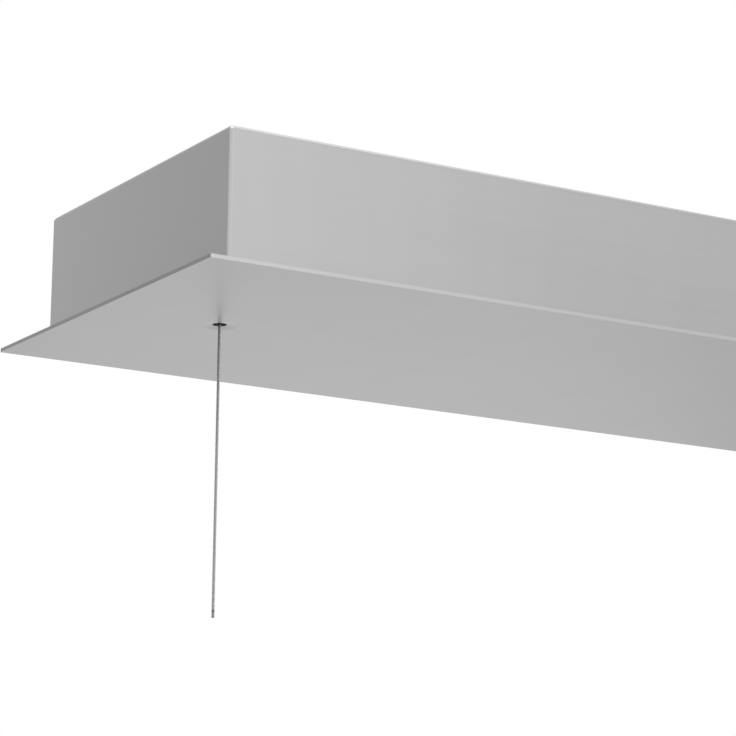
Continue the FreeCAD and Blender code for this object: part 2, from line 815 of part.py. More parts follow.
def gripper_balls(label, x):
    balls = []
    count = round(S.ball_count.value)
    for i in range(count):
        turn_angle = 360.0 * i / count
        ball = doc.addObject("Part::Sphere", f"{label}_{i}")
        drive(ball, "Radius", S.ball / 2)
        along = math.cos(math.radians(turn_angle))
        across = math.sin(math.radians(turn_angle))
        place(ball, x + along * ball_orbit, across * ball_orbit, ball_level)
        balls.append(ball)
    return group(label, balls)


def wire_section(centre, heading, diameter):
    """An eight-sided ring round a wire's centre, square to its heading."""
    across = heading.cross(X if abs(heading.dot(X)) < 0.5 else Z).normalize()
    corners = []
    for i in range(WIRE_SIDES + 1):
        spoke = FreeCAD.Rotation(heading, 360 * i / WIRE_SIDES).multVec(across)
        corners.append(centre + spoke * diameter / 2)
    return Part.makePolygon(corners)


def tangent_arc(start, corner, end):
    """The arc that touches both lines from the corner, which lies equally far from both ends."""
    weight = (end - start).Length / (corner - start).Length
    crown = (start + end + corner * weight) / (2 + weight)
    return Part.Arc(start, crown, end).toShape()


def biarc(start, heading, end, heading_out):
    """Two arcs that leave start and reach end along the given headings and meet smoothly."""
    chord = end - start
    bend = 2 * (1 - heading.dot(heading_out))
    reach = chord.dot(heading + heading_out)
    length = (math.sqrt(reach**2 + bend * chord.dot(chord)) - reach) / bend
    first, second = start + heading * length, end - heading_out * length
    joint = (first + second) / 2
    return [tangent_arc(start, first, joint), tangent_arc(joint, second, end)]


def gripper_spring(label, x):
    """Wire wound on half-turn biarcs, from the plunger's collar up to the coupler."""
    wire, coil = S.spring_wire.value, S.spring_coil.value / 2
    low = collar_top.value + wire / 2 + S.spring_seat_gap.value
    high = spigot_under.value - wire / 2 - S.spring_seat_gap.value
    turns = S.spring_turns.value
    steps = round(turns * 2)
    per_turn = 16

    def on_coil(share):
        angle = 2 * math.pi * turns * share
        return FreeCAD.Vector(
            coil * math.cos(angle), coil * math.sin(angle), low + (high - low) * share
        )

    def heading(share):
        angle = 2 * math.pi * turns * share
        along = 2 * math.pi * turns * coil
        return FreeCAD.Vector(
            -along * math.sin(angle), along * math.cos(angle), high - low
        ).normalize()

    count = round(per_turn * turns)
    places = [on_coil(i / count) for i in range(count + 1)]
    half_turn = per_turn // 2
    gap = min(a.distanceToPoint(b) for i, a in enumerate(places) for b in places[i + half_turn :])
    print(f"{label}: least gap between turns {gap - wire:.2f} mm")

    arcs = []
    for i in range(steps):
        start, end = i / steps, (i + 1) / steps
        arcs += biarc(on_coil(start), heading(start), on_coil(end), heading(end))
    section = wire_section(on_coil(0), heading(0), wire)
    spring = doc.addObject("Part::Feature", label)
    spring.Label = label
    spring.Shape = Part.Wire(arcs).makePipeShell([section], True, False)
    place(spring, x=x)
    return spring


def wire_rope(side, x):
    """The rope hangs taut, so it is one straight round bar; its strands are in the finish."""
    tip = plate_under - S.rope_below_plate
    low = tip + S.rope_end_length
    rope = cylinder(f"suspension_cable_{side}", S.rope, coupler_top + S.rope_tail - low, x=x, z=low)
    end, chamfer = S.rope_end / 2, S.rope_end / 5
    fused_end = turned(
        f"cable_end_{side}",
        [
            (0, 0),
            (end - chamfer, 0),
            (end, chamfer),
            (end, S.rope_end_length),
            (0, S.rope_end_length),
        ],
        x,
        0,
        tip,
    )
    return [rope, fused_end]


for side, way in sides:
    x = way * rope_x
    hanger = hat_bracket(
        f"gripper_bracket_{side}",
        S.hanger_web,
        S.hanger_foot,
        S.hanger_drop,
        S.hanger_sheet,
        S.hanger_width,
        S.hanger_bend,
        S.coupler_thread + S.coupler_clearance,
    )
    place(hanger, x=x, z=ceiling_inside)
    coupler = gripper_coupler(f"gripper_coupler_{side}")
    place(coupler, x=x, z=web_under)
    nut = hexagon_nut(
        f"gripper_nut_{side}", S.nut_flats, S.nut_height, S.coupler_thread + 2 * S.thread_fit
    )
    place(nut, x=x, z=web_top)
    barrel = gripper_barrel(f"gripper_barrel_{side}")
    place(barrel, x=x, z=shoulder_under)
    plunger = gripper_plunger(f"gripper_plunger_{side}")
    place(plunger, x=x, z=ball_level)
    subparts += [hanger, coupler, nut, barrel, plunger]
    subparts.append(gripper_balls(f"gripper_balls_{side}", x))
    subparts.append(gripper_spring(f"gripper_spring_{side}", x))
    subparts += wire_rope(side, x)


# ---- magnetic catches ------------------------------------------------------------------------

cup_under = plate_top + S.magnet_gap
cup_top = cup_under + S.cup_height
catch_y = inner_width / 2 - S.catch_reach + S.cup / 2


def catch_bracket(name, lean):
    """Angle welded to the long wall, its foot reaching inwards over the magnet cup."""
    body = new_body(name)
    profile = sketch_on(body, "YZ_Plane", f"{name}_profile")
    angle_profile(profile, S.catch_reach, S.catch_leg, S.catch_sheet, lean)
    bent = pad(body, profile, S.catch_width, midplane=True)
    round_edges(
        body,
        bent,
        S.catch_bend,
        lambda e: straight_along(e, X) and middle(e).distanceToPoint(FreeCAD.Vector()) < 1e-6,
        f"{name}_bend",
    )
    opening = sketch_on(body, "XY_Plane", f"{name}_hole")
    circle(opening, S.rivet + 2 * S.hole_fit, y=lean * (S.catch_reach - S.cup / 2))
    pocket(body, opening, S.catch_sheet * 2, upwards=True)
    return body


def magnet_catches():
    brackets, cups, magnets, rivets = [], [], [], []
    shank = S.rivet / 2
    roof = S.cup_height - S.cup_wall
    rivet_top = S.cup_height + S.catch_sheet
    for side, way in sides:
        for edge, lean in (("front", 1), ("back", -1)):
            x, y = way * S.catch_spacing / 2, -lean * catch_y
            bracket = catch_bracket(f"catch_bracket_{edge}_{side}", lean)
            place(bracket, x=x, y=-lean * inner_width / 2, z=cup_top)
            brackets.append(bracket)
            cups.append(
                turned(
                    f"magnet_cup_{edge}_{side}",
                    [
                        (shank + S.hole_fit, S.cup_height),
                        (shank + S.hole_fit, roof),
                        (S.cup / 2 - S.cup_wall, roof),
                        (S.cup / 2 - S.cup_wall, 0),
                        (S.cup / 2, 0),
                        (S.cup / 2, S.cup_height),
                    ],
                    x,
                    y,
                    cup_under,
                )
            )
            magnets.append(
                turned(
                    f"magnet_{edge}_{side}",
                    [
                        (S.rivet_head / 2 + S.hole_fit, S.magnet_recess),
                        (S.magnet / 2, S.magnet_recess),
                        (S.magnet / 2, S.magnet_recess + S.magnet_height),
                        (S.rivet_head / 2 + S.hole_fit, S.magnet_recess + S.magnet_height),
                    ],
                    x,
                    y,
                    cup_under,
                )
            )
            rivets.append(
                turned(
                    f"rivet_{edge}_{side}",
                    [
                        (0, roof - S.rivet_head_height),
                        (S.rivet_head / 2, roof - S.rivet_head_height),
                        (S.rivet_head / 2, roof),
                        (shank, roof),
                        (shank, rivet_top),
                        (S.rivet_head / 2, rivet_top),
                        (S.rivet_head / 2, rivet_top + S.rivet_head_height / 2),
                        (0, rivet_top + S.rivet_head_height),
                    ],
                    x,
                    y,
                    cup_under,
                )
            )
    return [
        group("catch_brackets", brackets),
        group("magnet_cups", cups),
        group("magnet_discs", magnets),
        group("magnet_rivets", rivets),
    ]


subparts += magnet_catches()


# ---- driver ----------------------------------------------------------------------------------


def driver_base():
    """Channel with two fixing ears, its back against the pan's top."""
    body = new_body("driver_base")
    place(body, driver_x, driver_y, ceiling_inside)
    floor = sketch_on(body, "XY_Plane", "driver_base_blank")
    rectangle(floor, S.driver_length + 2 * S.driver_ear, S.driver_width)
    pad(body, floor, S.driver_sheet, downwards=True)
    wall = S.driver_width / 2
    for side, lean in (("front", -1), ("back", 1)):
        lip = sketch_on(body, "YZ_Plane", f"driver_lip_{side}")
        outline(
            lip,
            [
                (lean * wall, 0),
                (lean * wall, -S.driver_lip),
                (lean * (wall - S.driver_sheet), -S.driver_lip),
                (lean * (wall - S.driver_sheet), 0),
            ],
        )
        pad(body, lip, S.driver_length - 2 * (S.driver_sheet + S.driver_fit), midplane=True)
    ears = sketch_on(body, "XY_Plane", "driver_ear_slots")
    for way in (-1, 1):
        slot(
            ears,
            S.driver_ear_slot * 1.5,
            S.driver_ear_slot,
            x=way * (S.driver_length + S.driver_ear) / 2,
        )
    pocket(body, ears, S.driver_sheet * 2)
    return body


def driver_cover():
    """Lid over the base, folded from one sheet, with a lead hole in each end."""
    body = new_body("driver_cover")
    place(body, driver_x, driver_y, ceiling_inside - S.driver_sheet)
    grow = 2 * (S.driver_sheet + S.driver_fit)
    height = S.driver_height - S.driver_sheet
    blank = sketch_on(body, "XY_Plane", "driver_cover_blank")
    rectangle(blank, S.driver_length, S.driver_width + grow)
    lid = pad(body, blank, height, downwards=True)
    rounded = round_edges(
        body,
        lid,
        S.driver_sheet * 1.5,
        lambda e: straight_along(e, X) and abs(middle(e).z + height.value) < 1e-6,
        "driver_cover_folds",
    )
    hollow = sketch_on(body, "XY_Plane", "driver_cover_hollow")
    rectangle(hollow, S.driver_length - 2 * S.driver_sheet, S.driver_width + 2 * S.driver_fit)
    pocket(body, hollow, height - S.driver_sheet)
    end = sketch_on(body, "YZ_Plane", "driver_lead_holes", height=S.driver_length / 2)
    for lean in (-1, 1):
        circle(end, S.driver_lead_hole, x=lean * S.driver_lead_spread / 2, y=-height / 2)
    pocket(body, end, S.driver_sheet * 2)
    return body


def driver_board():
    """Circuit board on four standoffs above the base."""
    board_length = S.driver_length - 2 * (S.driver_sheet + S.board_margin)
    board_width = S.driver_width - 2 * (S.driver_sheet + S.board_margin)
    top = ceiling_inside - S.driver_sheet - S.board_standoff
    pieces = [
        block(
            "board_plate",
            board_length,
            board_width,
            S.board_sheet,
            driver_x,
            driver_y,
            top - S.board_sheet,
        )
    ]
    for way in (-1, 1):
        for lean in (-1, 1):
            pieces.append(
                cylinder(
                    "board_standoff",
                    S.board_standoff,
                    S.board_standoff,
                    driver_x + way * (board_length / 2 - S.board_standoff),
                    driver_y + lean * (board_width / 2 - S.board_standoff),
                    top,
                )
            )
    board = fused("driver_board", pieces)
    board.Label = "driver_board"
    return board


DRIVER_COMPONENTS = [
    # name, place along the driver, place across it, length, width, height
    ("transformer", 12.0, 0.0, 30.0, 26.0, 17.0),
    ("filter_choke", -42.0, -2.0, 20.0, 20.0, 14.0),
    ("heat_sink", 48.0, 8.0, 34.0, 6.0, 15.0),
]
DRIVER_CAPACITORS = [
    # name, place along the driver, place across it, diameter, height
    ("storage_capacitor", -20.0, 4.0, 12.5, 17.0),
    ("output_capacitor_a", 72.0, -8.0, 10.0, 15.0),
    ("output_capacitor_b", 72.0, 5.0, 10.0, 15.0),
    ("line_capacitor", -66.0, 0.0, 14.0, 9.0),
]


def driver_components():
    """The components that are large enough to fill the driver's housing."""
    under = ceiling_inside - S.driver_sheet - S.board_standoff - S.board_sheet
    pieces = []
    for name, along, across, length, width, height in DRIVER_COMPONENTS:
        size = [as_size(number) for number in (length, width, height)]
        pieces.append(
            block(name, *size, driver_x + along, driver_y + across, under - height)
        )
    for name, along, across, diameter, height in DRIVER_CAPACITORS:
        pieces.append(
            cylinder(
                name,
                as_size(diameter),
                as_size(height),
                driver_x + along,
                driver_y + across,
                under - height,
            )
        )
    return group("driver_components", pieces)


def pan_screw(name, x, y, under):
    """Cross-recessed pan head screw: thread up into the pan's top, head below."""
    body = new_body(name)
    head, shank = S.fixing_head / 2, S.fixing_screw / 2
    turn(
        body,
        f"{name}_section",
        [
            (0, -S.fixing_head_height),
            (head * 0.6, -S.fixing_head_height),
            (head, -S.fixing_head_height / 2),
            (head, 0),
            (shank, 0),
            (shank, -under),
            (0, -under),
        ],
    )
    for plane in ("XZ_Plane", "YZ_Plane"):
        recess = sketch_on(body, plane, f"{name}_recess_{plane[:2].lower()}")
        depth = S.fixing_head_height * 0.6
        outline(
            recess,
            [
                (-head * 0.45, -S.fixing_head_height - depth),
                (head * 0.45, -S.fixing_head_height - depth),
                (head * 0.45, depth - S.fixing_head_height),
                (-head * 0.45, depth - S.fixing_head_height),
            ],
        )
        pocket(body, recess, S.cross_slot, midplane=True)
    place(body, x, y, under)
    return body


def driver_screws():
    under = ceiling_inside - S.driver_sheet
    return group(
        "driver_screws",
        [pan_screw(f"driver_screw_{i}", x, driver_y, under) for i, x in enumerate(driver_screw_x)],
    )


subparts += [driver_base(), driver_cover(), driver_board(), driver_components(), driver_screws()]


# ---- terminal blocks and their screws --------------------------------------------------------


def pole_places(poles):
    count = round(poles.value)
    return [(i - (count - 1) / 2) * S.pole_pitch for i in range(count)]


def terminal_block(label, poles, x, y, fixing_y):
    """Moulded block: raised clamp ridge, lower wire ledges, a wire way and two wells per pole."""
    body = new_body(label)
    place(body, x, y, ceiling_inside)
    half, ridge = S.block_depth / 2, S.block_ridge / 2
    profile = sketch_on(body, "XZ_Plane", f"{label}_profile")
    outline(
        profile,
        [
            (-half, 0),
            (half, 0),
            (half, -S.block_ledge),
            (ridge, -S.block_ledge),
            (ridge, -S.block_height),
            (-ridge, -S.block_height),
            (-ridge, -S.block_ledge),
            (-half, -S.block_ledge),
        ],
    )
    pad(body, profile, poles * S.pole_pitch, midplane=True)
    wires = sketch_on(body, "YZ_Plane", f"{label}_wire_ways")
    for pole in pole_places(poles):
        circle(wires, S.block_wire_hole, x=pole, y=-S.block_wire_level)
    pocket(body, wires, S.block_depth * 2, midplane=True)
    wells = sketch_on(body, "XY_Plane", f"{label}_screw_wells", height=-S.block_height)
    for pole in pole_places(poles):
        for lean in (-1, 1):
            circle(wells, S.clamp_screw + 2 * S.hole_fit, x=lean * ridge / 2, y=pole)
    pocket(body, wells, S.block_height - S.block_wire_level, upwards=True)
    seat = sketch_on(body, "XY_Plane", f"{label}_fixing_seat", height=-S.block_height)
    circle(seat, S.fixing_head + 2 * S.hole_fit, y=fixing_y - y)
    pocket(body, seat, S.block_height - S.block_seat, upwards=True)
    hole = sketch_on(body, "XY_Plane", f"{label}_fixing_hole", height=-S.block_height)
    circle(hole, S.fixing_screw + 2 * S.hole_fit, y=fixing_y - y)
    pocket(body, hole, upwards=True)
    return body


def clamp_screws(label, poles, x, y):
    """Slotted clamping screws, two to a pole, their tips just clear of the lead."""
    tip = ceiling_inside - S.block_wire_level - S.lead / 2 - S.hole_fit
    head = ceiling_inside - S.block_height + S.clamp_screw_sink
    screws = []
    for i, pole in enumerate(pole_places(poles)):
        for side, lean in (("in", -1), ("out", 1)):
            name = f"{label}_{i}_{side}"
            screw = turned(
                name,
                [
                    (0, 0),
                    (S.clamp_screw / 2, 0),
                    (S.clamp_screw / 2, tip - head - S.clamp_screw / 6),
                    (S.clamp_screw / 3, tip - head),
                    (0, tip - head),
                ],
                x + lean * S.block_ridge / 4,
                y + pole,
                head,
            )
            slot_cut = sketch_on(screw, "XZ_Plane", f"{name}_slot")
            rectangle(slot_cut, S.clamp_screw_slot, S.clamp_screw_slot * 2)
            pocket(screw, slot_cut, S.clamp_screw * 2, midplane=True)
            screws.append(screw)
    return group(label, screws)


def block_fixing_screws():
    under = ceiling_inside - S.block_seat
    places = ((mains_x, mains_fixing_y), (lamp_x, block_y))
    return group(
        "block_fixing_screws",
        [pan_screw(f"block_screw_{i}", x, y, under) for i, (x, y) in enumerate(places)],
    )


subparts += [
    terminal_block("mains_block", S.mains_poles, mains_x, block_y, mains_fixing_y),
    clamp_screws("mains_clamp_screws", S.mains_poles, mains_x, block_y),
    terminal_block("lamp_block", S.lamp_poles, lamp_x, block_y, block_y),
    clamp_screws("lamp_clamp_screws", S.lamp_poles, lamp_x, block_y),
    block_fixing_screws(),
]


# ---- earth screw and lug ---------------------------------------------------------------------


def earth_lug():
    """Ring lug with its crimped sleeve pointing back along -X."""
    body = new_body("earth_lug")
    place(body, earth_x, earth_y, ceiling_inside)
    ring = sketch_on(body, "XY_Plane", "lug_ring_blank")
    circle(ring, S.lug_ring)
    pad(body, ring, S.lug_sheet, downwards=True)
    neck = sketch_on(body, "XY_Plane", "lug_neck_blank")
    rectangle(neck, S.lug_length, S.lug_neck, x=-S.lug_length / 2)
    pad(body, neck, S.lug_sheet, downwards=True)
    sleeve = sketch_on(body, "YZ_Plane", "lug_sleeve_blank", height=-S.lug_length)
    circle(sleeve, S.lug_sleeve, y=-S.lug_sleeve / 2)
    pad(body, sleeve, S.lug_sleeve_length, downwards=True)
    way = sketch_on(body, "YZ_Plane", "lug_wire_way", height=-S.lug_length - S.lug_sleeve_length)
    circle(way, S.lead + S.hole_fit, y=-S.lug_sleeve / 2)
    pocket(body, way, S.lug_sleeve_length, upwards=True)
    hole = sketch_on(body, "XY_Plane", "lug_hole")
    circle(hole, S.fixing_screw + 2 * S.hole_fit)
    pocket(body, hole, S.lug_sheet * 2)
    return body


earth_screw = pan_screw("earth_screw", earth_x, earth_y, ceiling_inside - S.lug_sheet)
subparts += [earth_lug(), earth_screw]


# ---- leads -----------------------------------------------------------------------------------


def rounded_route(points):
    """Straight runs joined by the largest tangent arcs that both neighbours leave room for."""
    corners = [FreeCAD.Vector(*(as_size(c).value for c in point)) for point in points]
    edges, start = [], corners[0]
    for before, corner, after in zip(corners, corners[1:], corners[2:]):
        back, ahead = before - corner, after - corner
        trim = 0.45 * min(back.Length, ahead.Length)
        into, out = corner + back.normalize() * trim, corner + ahead.normalize() * trim
        turn_half = (math.pi - back.getAngle(ahead)) / 2
        radius = trim / math.tan(turn_half)
        bulge = (back + ahead).normalize()
        crown = corner + bulge * (radius / math.cos(turn_half) - radius)
        edges.append(Part.LineSegment(start, into).toShape())
        edges.append(Part.Arc(into, crown, out).toShape())
        start = out
    edges.append(Part.LineSegment(start, corners[-1]).toShape())
    return Part.Wire(edges)


def lead_shape(points):
    path = rounded_route(points)
    start = path.Edges[0].Vertexes[0].Point
    heading = path.Edges[0].tangentAt(path.Edges[0].FirstParameter)
    section = wire_section(start, heading, S.lead.value)
    shape = path.makePipeShell([section], True, False)
    whole = Part.Face(section).Area * path.Length
    assert abs(shape.Volume - whole) < 0.01 * whole, "a lead's volume is off"
    return shape


def lead(label, points):
    feature = doc.addObject("Part::Feature", label)
    feature.Label = label
    feature.Shape = lead_shape(points)
    return feature


wire_level = ceiling_inside - S.block_wire_level
lying = ceiling_inside - S.lead_rest - S.lead / 2
driver_hole_level = ceiling_inside - S.driver_sheet - (S.driver_height - S.driver_sheet) / 2
mains_entry = mains_x - S.block_depth / 2
mains_poles = [block_y + pole for pole in pole_places(S.mains_poles)]
lamp_entry = lamp_x - S.block_depth / 2
lamp_poles = [block_y + pole for pole in pole_places(S.lamp_poles)]
lead_lane = mains_poles[0] - S.pole_pitch / 2 - 2 * S.lead_step
step = S.lead_step


def input_route(lean, pole_y):
    """From the driver's rear hole down to a pole of the mains block."""
    y = driver_y + S.driver_lead_spread / 2 + lean * S.lead_pair / 2
    return [
        (driver_end - step, y, driver_hole_level),
        (driver_end + 2 * step, y, driver_hole_level),
        (driver_end + 6 * step, y - step / 2, driver_hole_level + step / 2),
        (mains_entry - 7 * step, (y + pole_y) / 2, wire_level - step / 2),
        (mains_entry - 2 * step, pole_y, wire_level),
        (mains_entry + S.lead_entry, pole_y, wire_level),
    ]


def output_route(lean, pole_y):
    """From the driver's front hole past the mains block, along the pan's top to the lamp block."""
    y = driver_y - S.driver_lead_spread / 2 + lean * S.lead_pair / 2
    lane = lead_lane + lean * S.lead_pair / 2
    return [
        (driver_end - step, y, driver_hole_level),
        (driver_end + 2 * step, y, driver_hole_level),
        (driver_end + 6 * step, y - step / 4, driver_hole_level + step),
        (driver_end + 12 * step, y - step, lying - step / 2),
        (mains_entry - 2 * step, lane, lying),
        (mains_x + 4 * step, lane, lying),
        (lamp_entry - 12 * step, lane + step, lying),
        (lamp_entry - 4 * step, (lane + pole_y) / 2, lying - step / 2),
        (lamp_entry - step, pole_y, wire_level),
        (lamp_entry + S.lead_entry, pole_y, wire_level),
    ]


def earth_route():
    """From the earth pole of the mains block to the lug's sleeve."""
    out = mains_x + S.block_depth / 2
    lug = earth_x - S.lug_length - S.lug_sleeve_length
    level = ceiling_inside - S.lug_sleeve / 2
    return [
        (out - S.lead_entry, mains_poles[0], wire_level),
        (out + step, mains_poles[0], wire_level),
        (out + 2 * step, mains_poles[0] + 2 * step, wire_level + step / 2),
        (lug - 2 * step, earth_y - step, level),
        (lug - step, earth_y, level),
        (lug + S.lug_sleeve_length, earth_y, level),
    ]


subparts += [
    lead("lead_neutral", input_route(-1, mains_poles[1])),
    lead("lead_line", input_route(1, mains_poles[2])),
    lead("lead_minus", output_route(-1, lamp_poles[0])),
    lead("lead_plus", output_route(1, lamp_poles[1])),
    lead("lead_earth", earth_route()),
]


# ---- bushings and cord gland -----------------------------------------------------------------


def feed_bushing():
    """Grommet in the supply hole, flush with the ceiling face."""
    body = new_body("feed_bushing")
    inner = S.feed_bushing_bore / 2
    neck = S.feed_hole / 2 - S.thread_fit
    low = ceiling_inside - S.feed_bushing_flange_height
    edge = S.feed_bushing_flange / 2
    turn(
        body,
        "feed_bushing_section",
        [
            (inner + S.feed_bushing_flange_height / 2, low),
            (edge - S.feed_bushing_flange_height / 2, low),
            (edge, low + S.feed_bushing_flange_height / 2),
            (edge, ceiling_inside),
            (neck, ceiling_inside),
            (neck, 0),
            (inner, 0),
            (inner, low + S.feed_bushing_flange_height / 2),
        ],
    )
    return body


def gland_body():
    """Hexagon against the bracket, stud up through it, neck below that carries the cap."""
    body = new_body("gland_body")
    place(body, x=gland_x, z=gland_web_under)
    flange = sketch_on(body, "XY_Plane", "gland_hexagon")
    hexagon(flange, S.gland_flats)
    pad(body, flange, S.gland_hex_height, downwards=True)
    stud = sketch_on(body, "XY_Plane", "gland_stud")
    circle(stud, S.gland_thread)
    pad(body, stud, S.gland_stud)
    neck = sketch_on(body, "XY_Plane", "gland_neck", height=-S.gland_hex_height)
    circle(neck, S.gland_thread)
    pad(body, neck, S.gland_neck, downwards=True)
    bore = sketch_on(body, "XY_Plane", "gland_bore", height=S.gland_stud)
    circle(bore, S.gland_bore)
    pocket(body, bore)
    seat = sketch_on(
        body, "XY_Plane", "gland_seal_seat", height=-S.gland_hex_height - S.gland_neck
    )
    circle(seat, S.gland_seal_bore + 2 * S.gland_seal_wall + 2 * S.thread_fit)
    pocket(body, seat, S.gland_seal_height, upwards=True)
    return body


def gland_seal():
    inner = S.gland_seal_bore / 2
    outer = inner + S.gland_seal_wall
    bevel = S.gland_seal_wall / 3
    low = gland_web_under - S.gland_hex_height - S.gland_neck
    return turned(
        "gland_seal",
        [
            (inner, 0),
            (outer - bevel, 0),
            (outer, bevel),
            (outer, S.gland_seal_height - S.thread_fit),
            (inner, S.gland_seal_height - S.thread_fit),
        ],
        gland_x,
        0,
        low,
    )


def gland_cap():
    """Hexagon cap screwed over the neck, narrowed at its lower end to press the seal."""
    body = new_body("gland_cap")
    place(body, x=gland_x, z=gland_web_under - S.gland_hex_height - S.gland_cap_gap)
    blank = sketch_on(body, "XY_Plane", "gland_cap_blank")
    hexagon(blank, S.gland_cap_flats)
    shell = pad(body, blank, S.gland_cap_height, downwards=True)
    doc.recompute()
    taper = body.newObject("PartDesign::Chamfer", "gland_cap_chamfer")
    low = -S.gland_cap_height.value
    taper.Base = (shell, edges_where(shell.Shape, lambda e: abs(e.BoundBox.ZMax - low) < 1e-6))
    drive(taper, "Size", S.gland_cap_flats / 12)
    seat = sketch_on(body, "XY_Plane", "gland_cap_thread")
    circle(seat, S.gland_thread + 2 * S.thread_fit)
    pocket(body, seat, S.gland_neck - S.gland_cap_gap + S.hole_fit)
    bore = sketch_on(body, "XY_Plane", "gland_cap_bore")
    circle(bore, S.gland_bore)
    pocket(body, bore)
    return body


gland_bracket = hat_bracket(
    "gland_bracket",
    S.hanger_web,
    S.hanger_foot,
    S.gland_bracket_drop,
    S.hanger_sheet,
    S.hanger_width,
    S.hanger_bend,
    S.gland_thread + S.coupler_clearance,
)
place(gland_bracket, x=gland_x, z=ceiling_inside)
gland_locknut = hexagon_nut(
    "gland_locknut", S.gland_flats, S.locknut_height, S.gland_thread + 2 * S.thread_fit
)
place(gland_locknut, x=gland_x, z=gland_web_under + S.hanger_sheet)
subparts += [feed_bushing(), gland_bracket, gland_locknut, gland_body(), gland_seal(), gland_cap()]


# ---- check and write -------------------------------------------------------------------------


def check_model():
    """Stops when a feature failed, a cut removed nothing or a sub-part has no valid solid."""
    for obj in doc.Objects:
        faults = [word for word in obj.State if word in ("Invalid", "Error")]
        assert not faults, f"{obj.Name} is {faults}"
        if obj.TypeId in ("PartDesign::Pocket", "PartDesign::SubtractiveCone"):
            removed = obj.BaseFeature.Shape.Volume - obj.Shape.Volume
            assert removed > 1e-6, f"{obj.Name} cuts nothing"
    for part in subparts:
        assert not part.Shape.isNull() and part.Shape.isValid(), f"{part.Label} is not valid"
        assert part.Shape.Solids, f"{part.Label} has no solid"


doc.recompute()
check_model()
os.makedirs("parts", exist_ok=True)
for part in subparts:
    part.Shape.exportStep(os.path.join("parts", f"{part.Label}.step"))
print(f"{len(subparts)} sub-parts written")
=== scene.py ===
import math

import bpy
from mathutils import Matrix, Vector


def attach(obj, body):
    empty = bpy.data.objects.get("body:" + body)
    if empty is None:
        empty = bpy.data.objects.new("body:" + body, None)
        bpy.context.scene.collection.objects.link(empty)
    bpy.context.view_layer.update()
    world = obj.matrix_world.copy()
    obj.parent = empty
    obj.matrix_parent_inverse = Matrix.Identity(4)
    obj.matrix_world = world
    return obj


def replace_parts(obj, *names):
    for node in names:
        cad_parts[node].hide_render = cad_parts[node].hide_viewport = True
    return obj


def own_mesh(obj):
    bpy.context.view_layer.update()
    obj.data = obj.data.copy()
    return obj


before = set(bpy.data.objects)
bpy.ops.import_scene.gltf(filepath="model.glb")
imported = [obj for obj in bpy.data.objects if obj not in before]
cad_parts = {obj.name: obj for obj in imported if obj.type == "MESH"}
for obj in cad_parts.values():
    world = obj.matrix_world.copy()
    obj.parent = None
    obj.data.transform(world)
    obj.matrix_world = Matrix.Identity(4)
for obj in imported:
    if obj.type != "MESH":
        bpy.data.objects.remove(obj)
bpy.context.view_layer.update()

scene = bpy.context.scene
scene.view_settings.view_transform = "Standard"


# camera: low, left of the near end, looking up along the canopy

camera = {
    "place": (-0.6824, -0.7704, -0.2527),
    "yaw": 31.13,  # degrees from +Y towards +X
    "pitch": 12.5,
    "roll": 0.63,
    "focal": 2761,  # in pixels of a picture this wide
    "pictureWidth": 736,
    "sensorWidth": 36,
    "clip": (0.01, 50),
}


def aimCamera(settings):
    yaw, pitch, roll = (math.radians(settings[key]) for key in ("yaw", "pitch", "roll"))
    flat = math.cos(pitch)
    ahead = Vector((math.sin(yaw) * flat, math.cos(yaw) * flat, math.sin(pitch)))
    level = Vector((math.cos(yaw), -math.sin(yaw), 0))
    above = level.cross(ahead)
    right = level * math.cos(roll) + above * math.sin(roll)
    upward = above * math.cos(roll) - level * math.sin(roll)
    data = bpy.data.cameras.new("camera")
    data.sensor_width = settings["sensorWidth"]
    data.lens = settings["sensorWidth"] * settings["focal"] / settings["pictureWidth"]
    data.clip_start, data.clip_end = settings["clip"]
    made = bpy.data.objects.new("camera", data)
    turn = Matrix((right, upward, -ahead)).transposed().to_4x4()
    made.matrix_world = Matrix.Translation(settings["place"]) @ turn
    scene.collection.objects.link(made)
    scene.camera = made


aimCamera(camera)
print("camera set")


# shader maths: a socket that takes part in plain expressions


class Signal:
    def __init__(self, sheet, socket):
        self.sheet, self.socket = sheet, socket

    def maths(self, operation, *values):
        return self.sheet.node("ShaderNodeMath", {"operation": operation}, dict(enumerate(values)))

    def __add__(self, other):
        return self.maths("ADD", self, other)

    def __radd__(self, other):
        return self.maths("ADD", other, self)

    def __sub__(self, other):
        return self.maths("SUBTRACT", self, other)

    def __rsub__(self, other):
        return self.maths("SUBTRACT", other, self)

    def __mul__(self, other):
        return self.maths("MULTIPLY", self, other)

    def __rmul__(self, other):
        return self.maths("MULTIPLY", other, self)

    def __truediv__(self, other):
        return self.maths("DIVIDE", self, other)

    def __pow__(self, other):
        return self.maths("POWER", self, other)

    def over(self, other):
        return self.maths("GREATER_THAN", self, other)

    def largest(self, other):
        return self.maths("MAXIMUM", self, other)

    def wave(self):
        return self.maths("SINE", self)


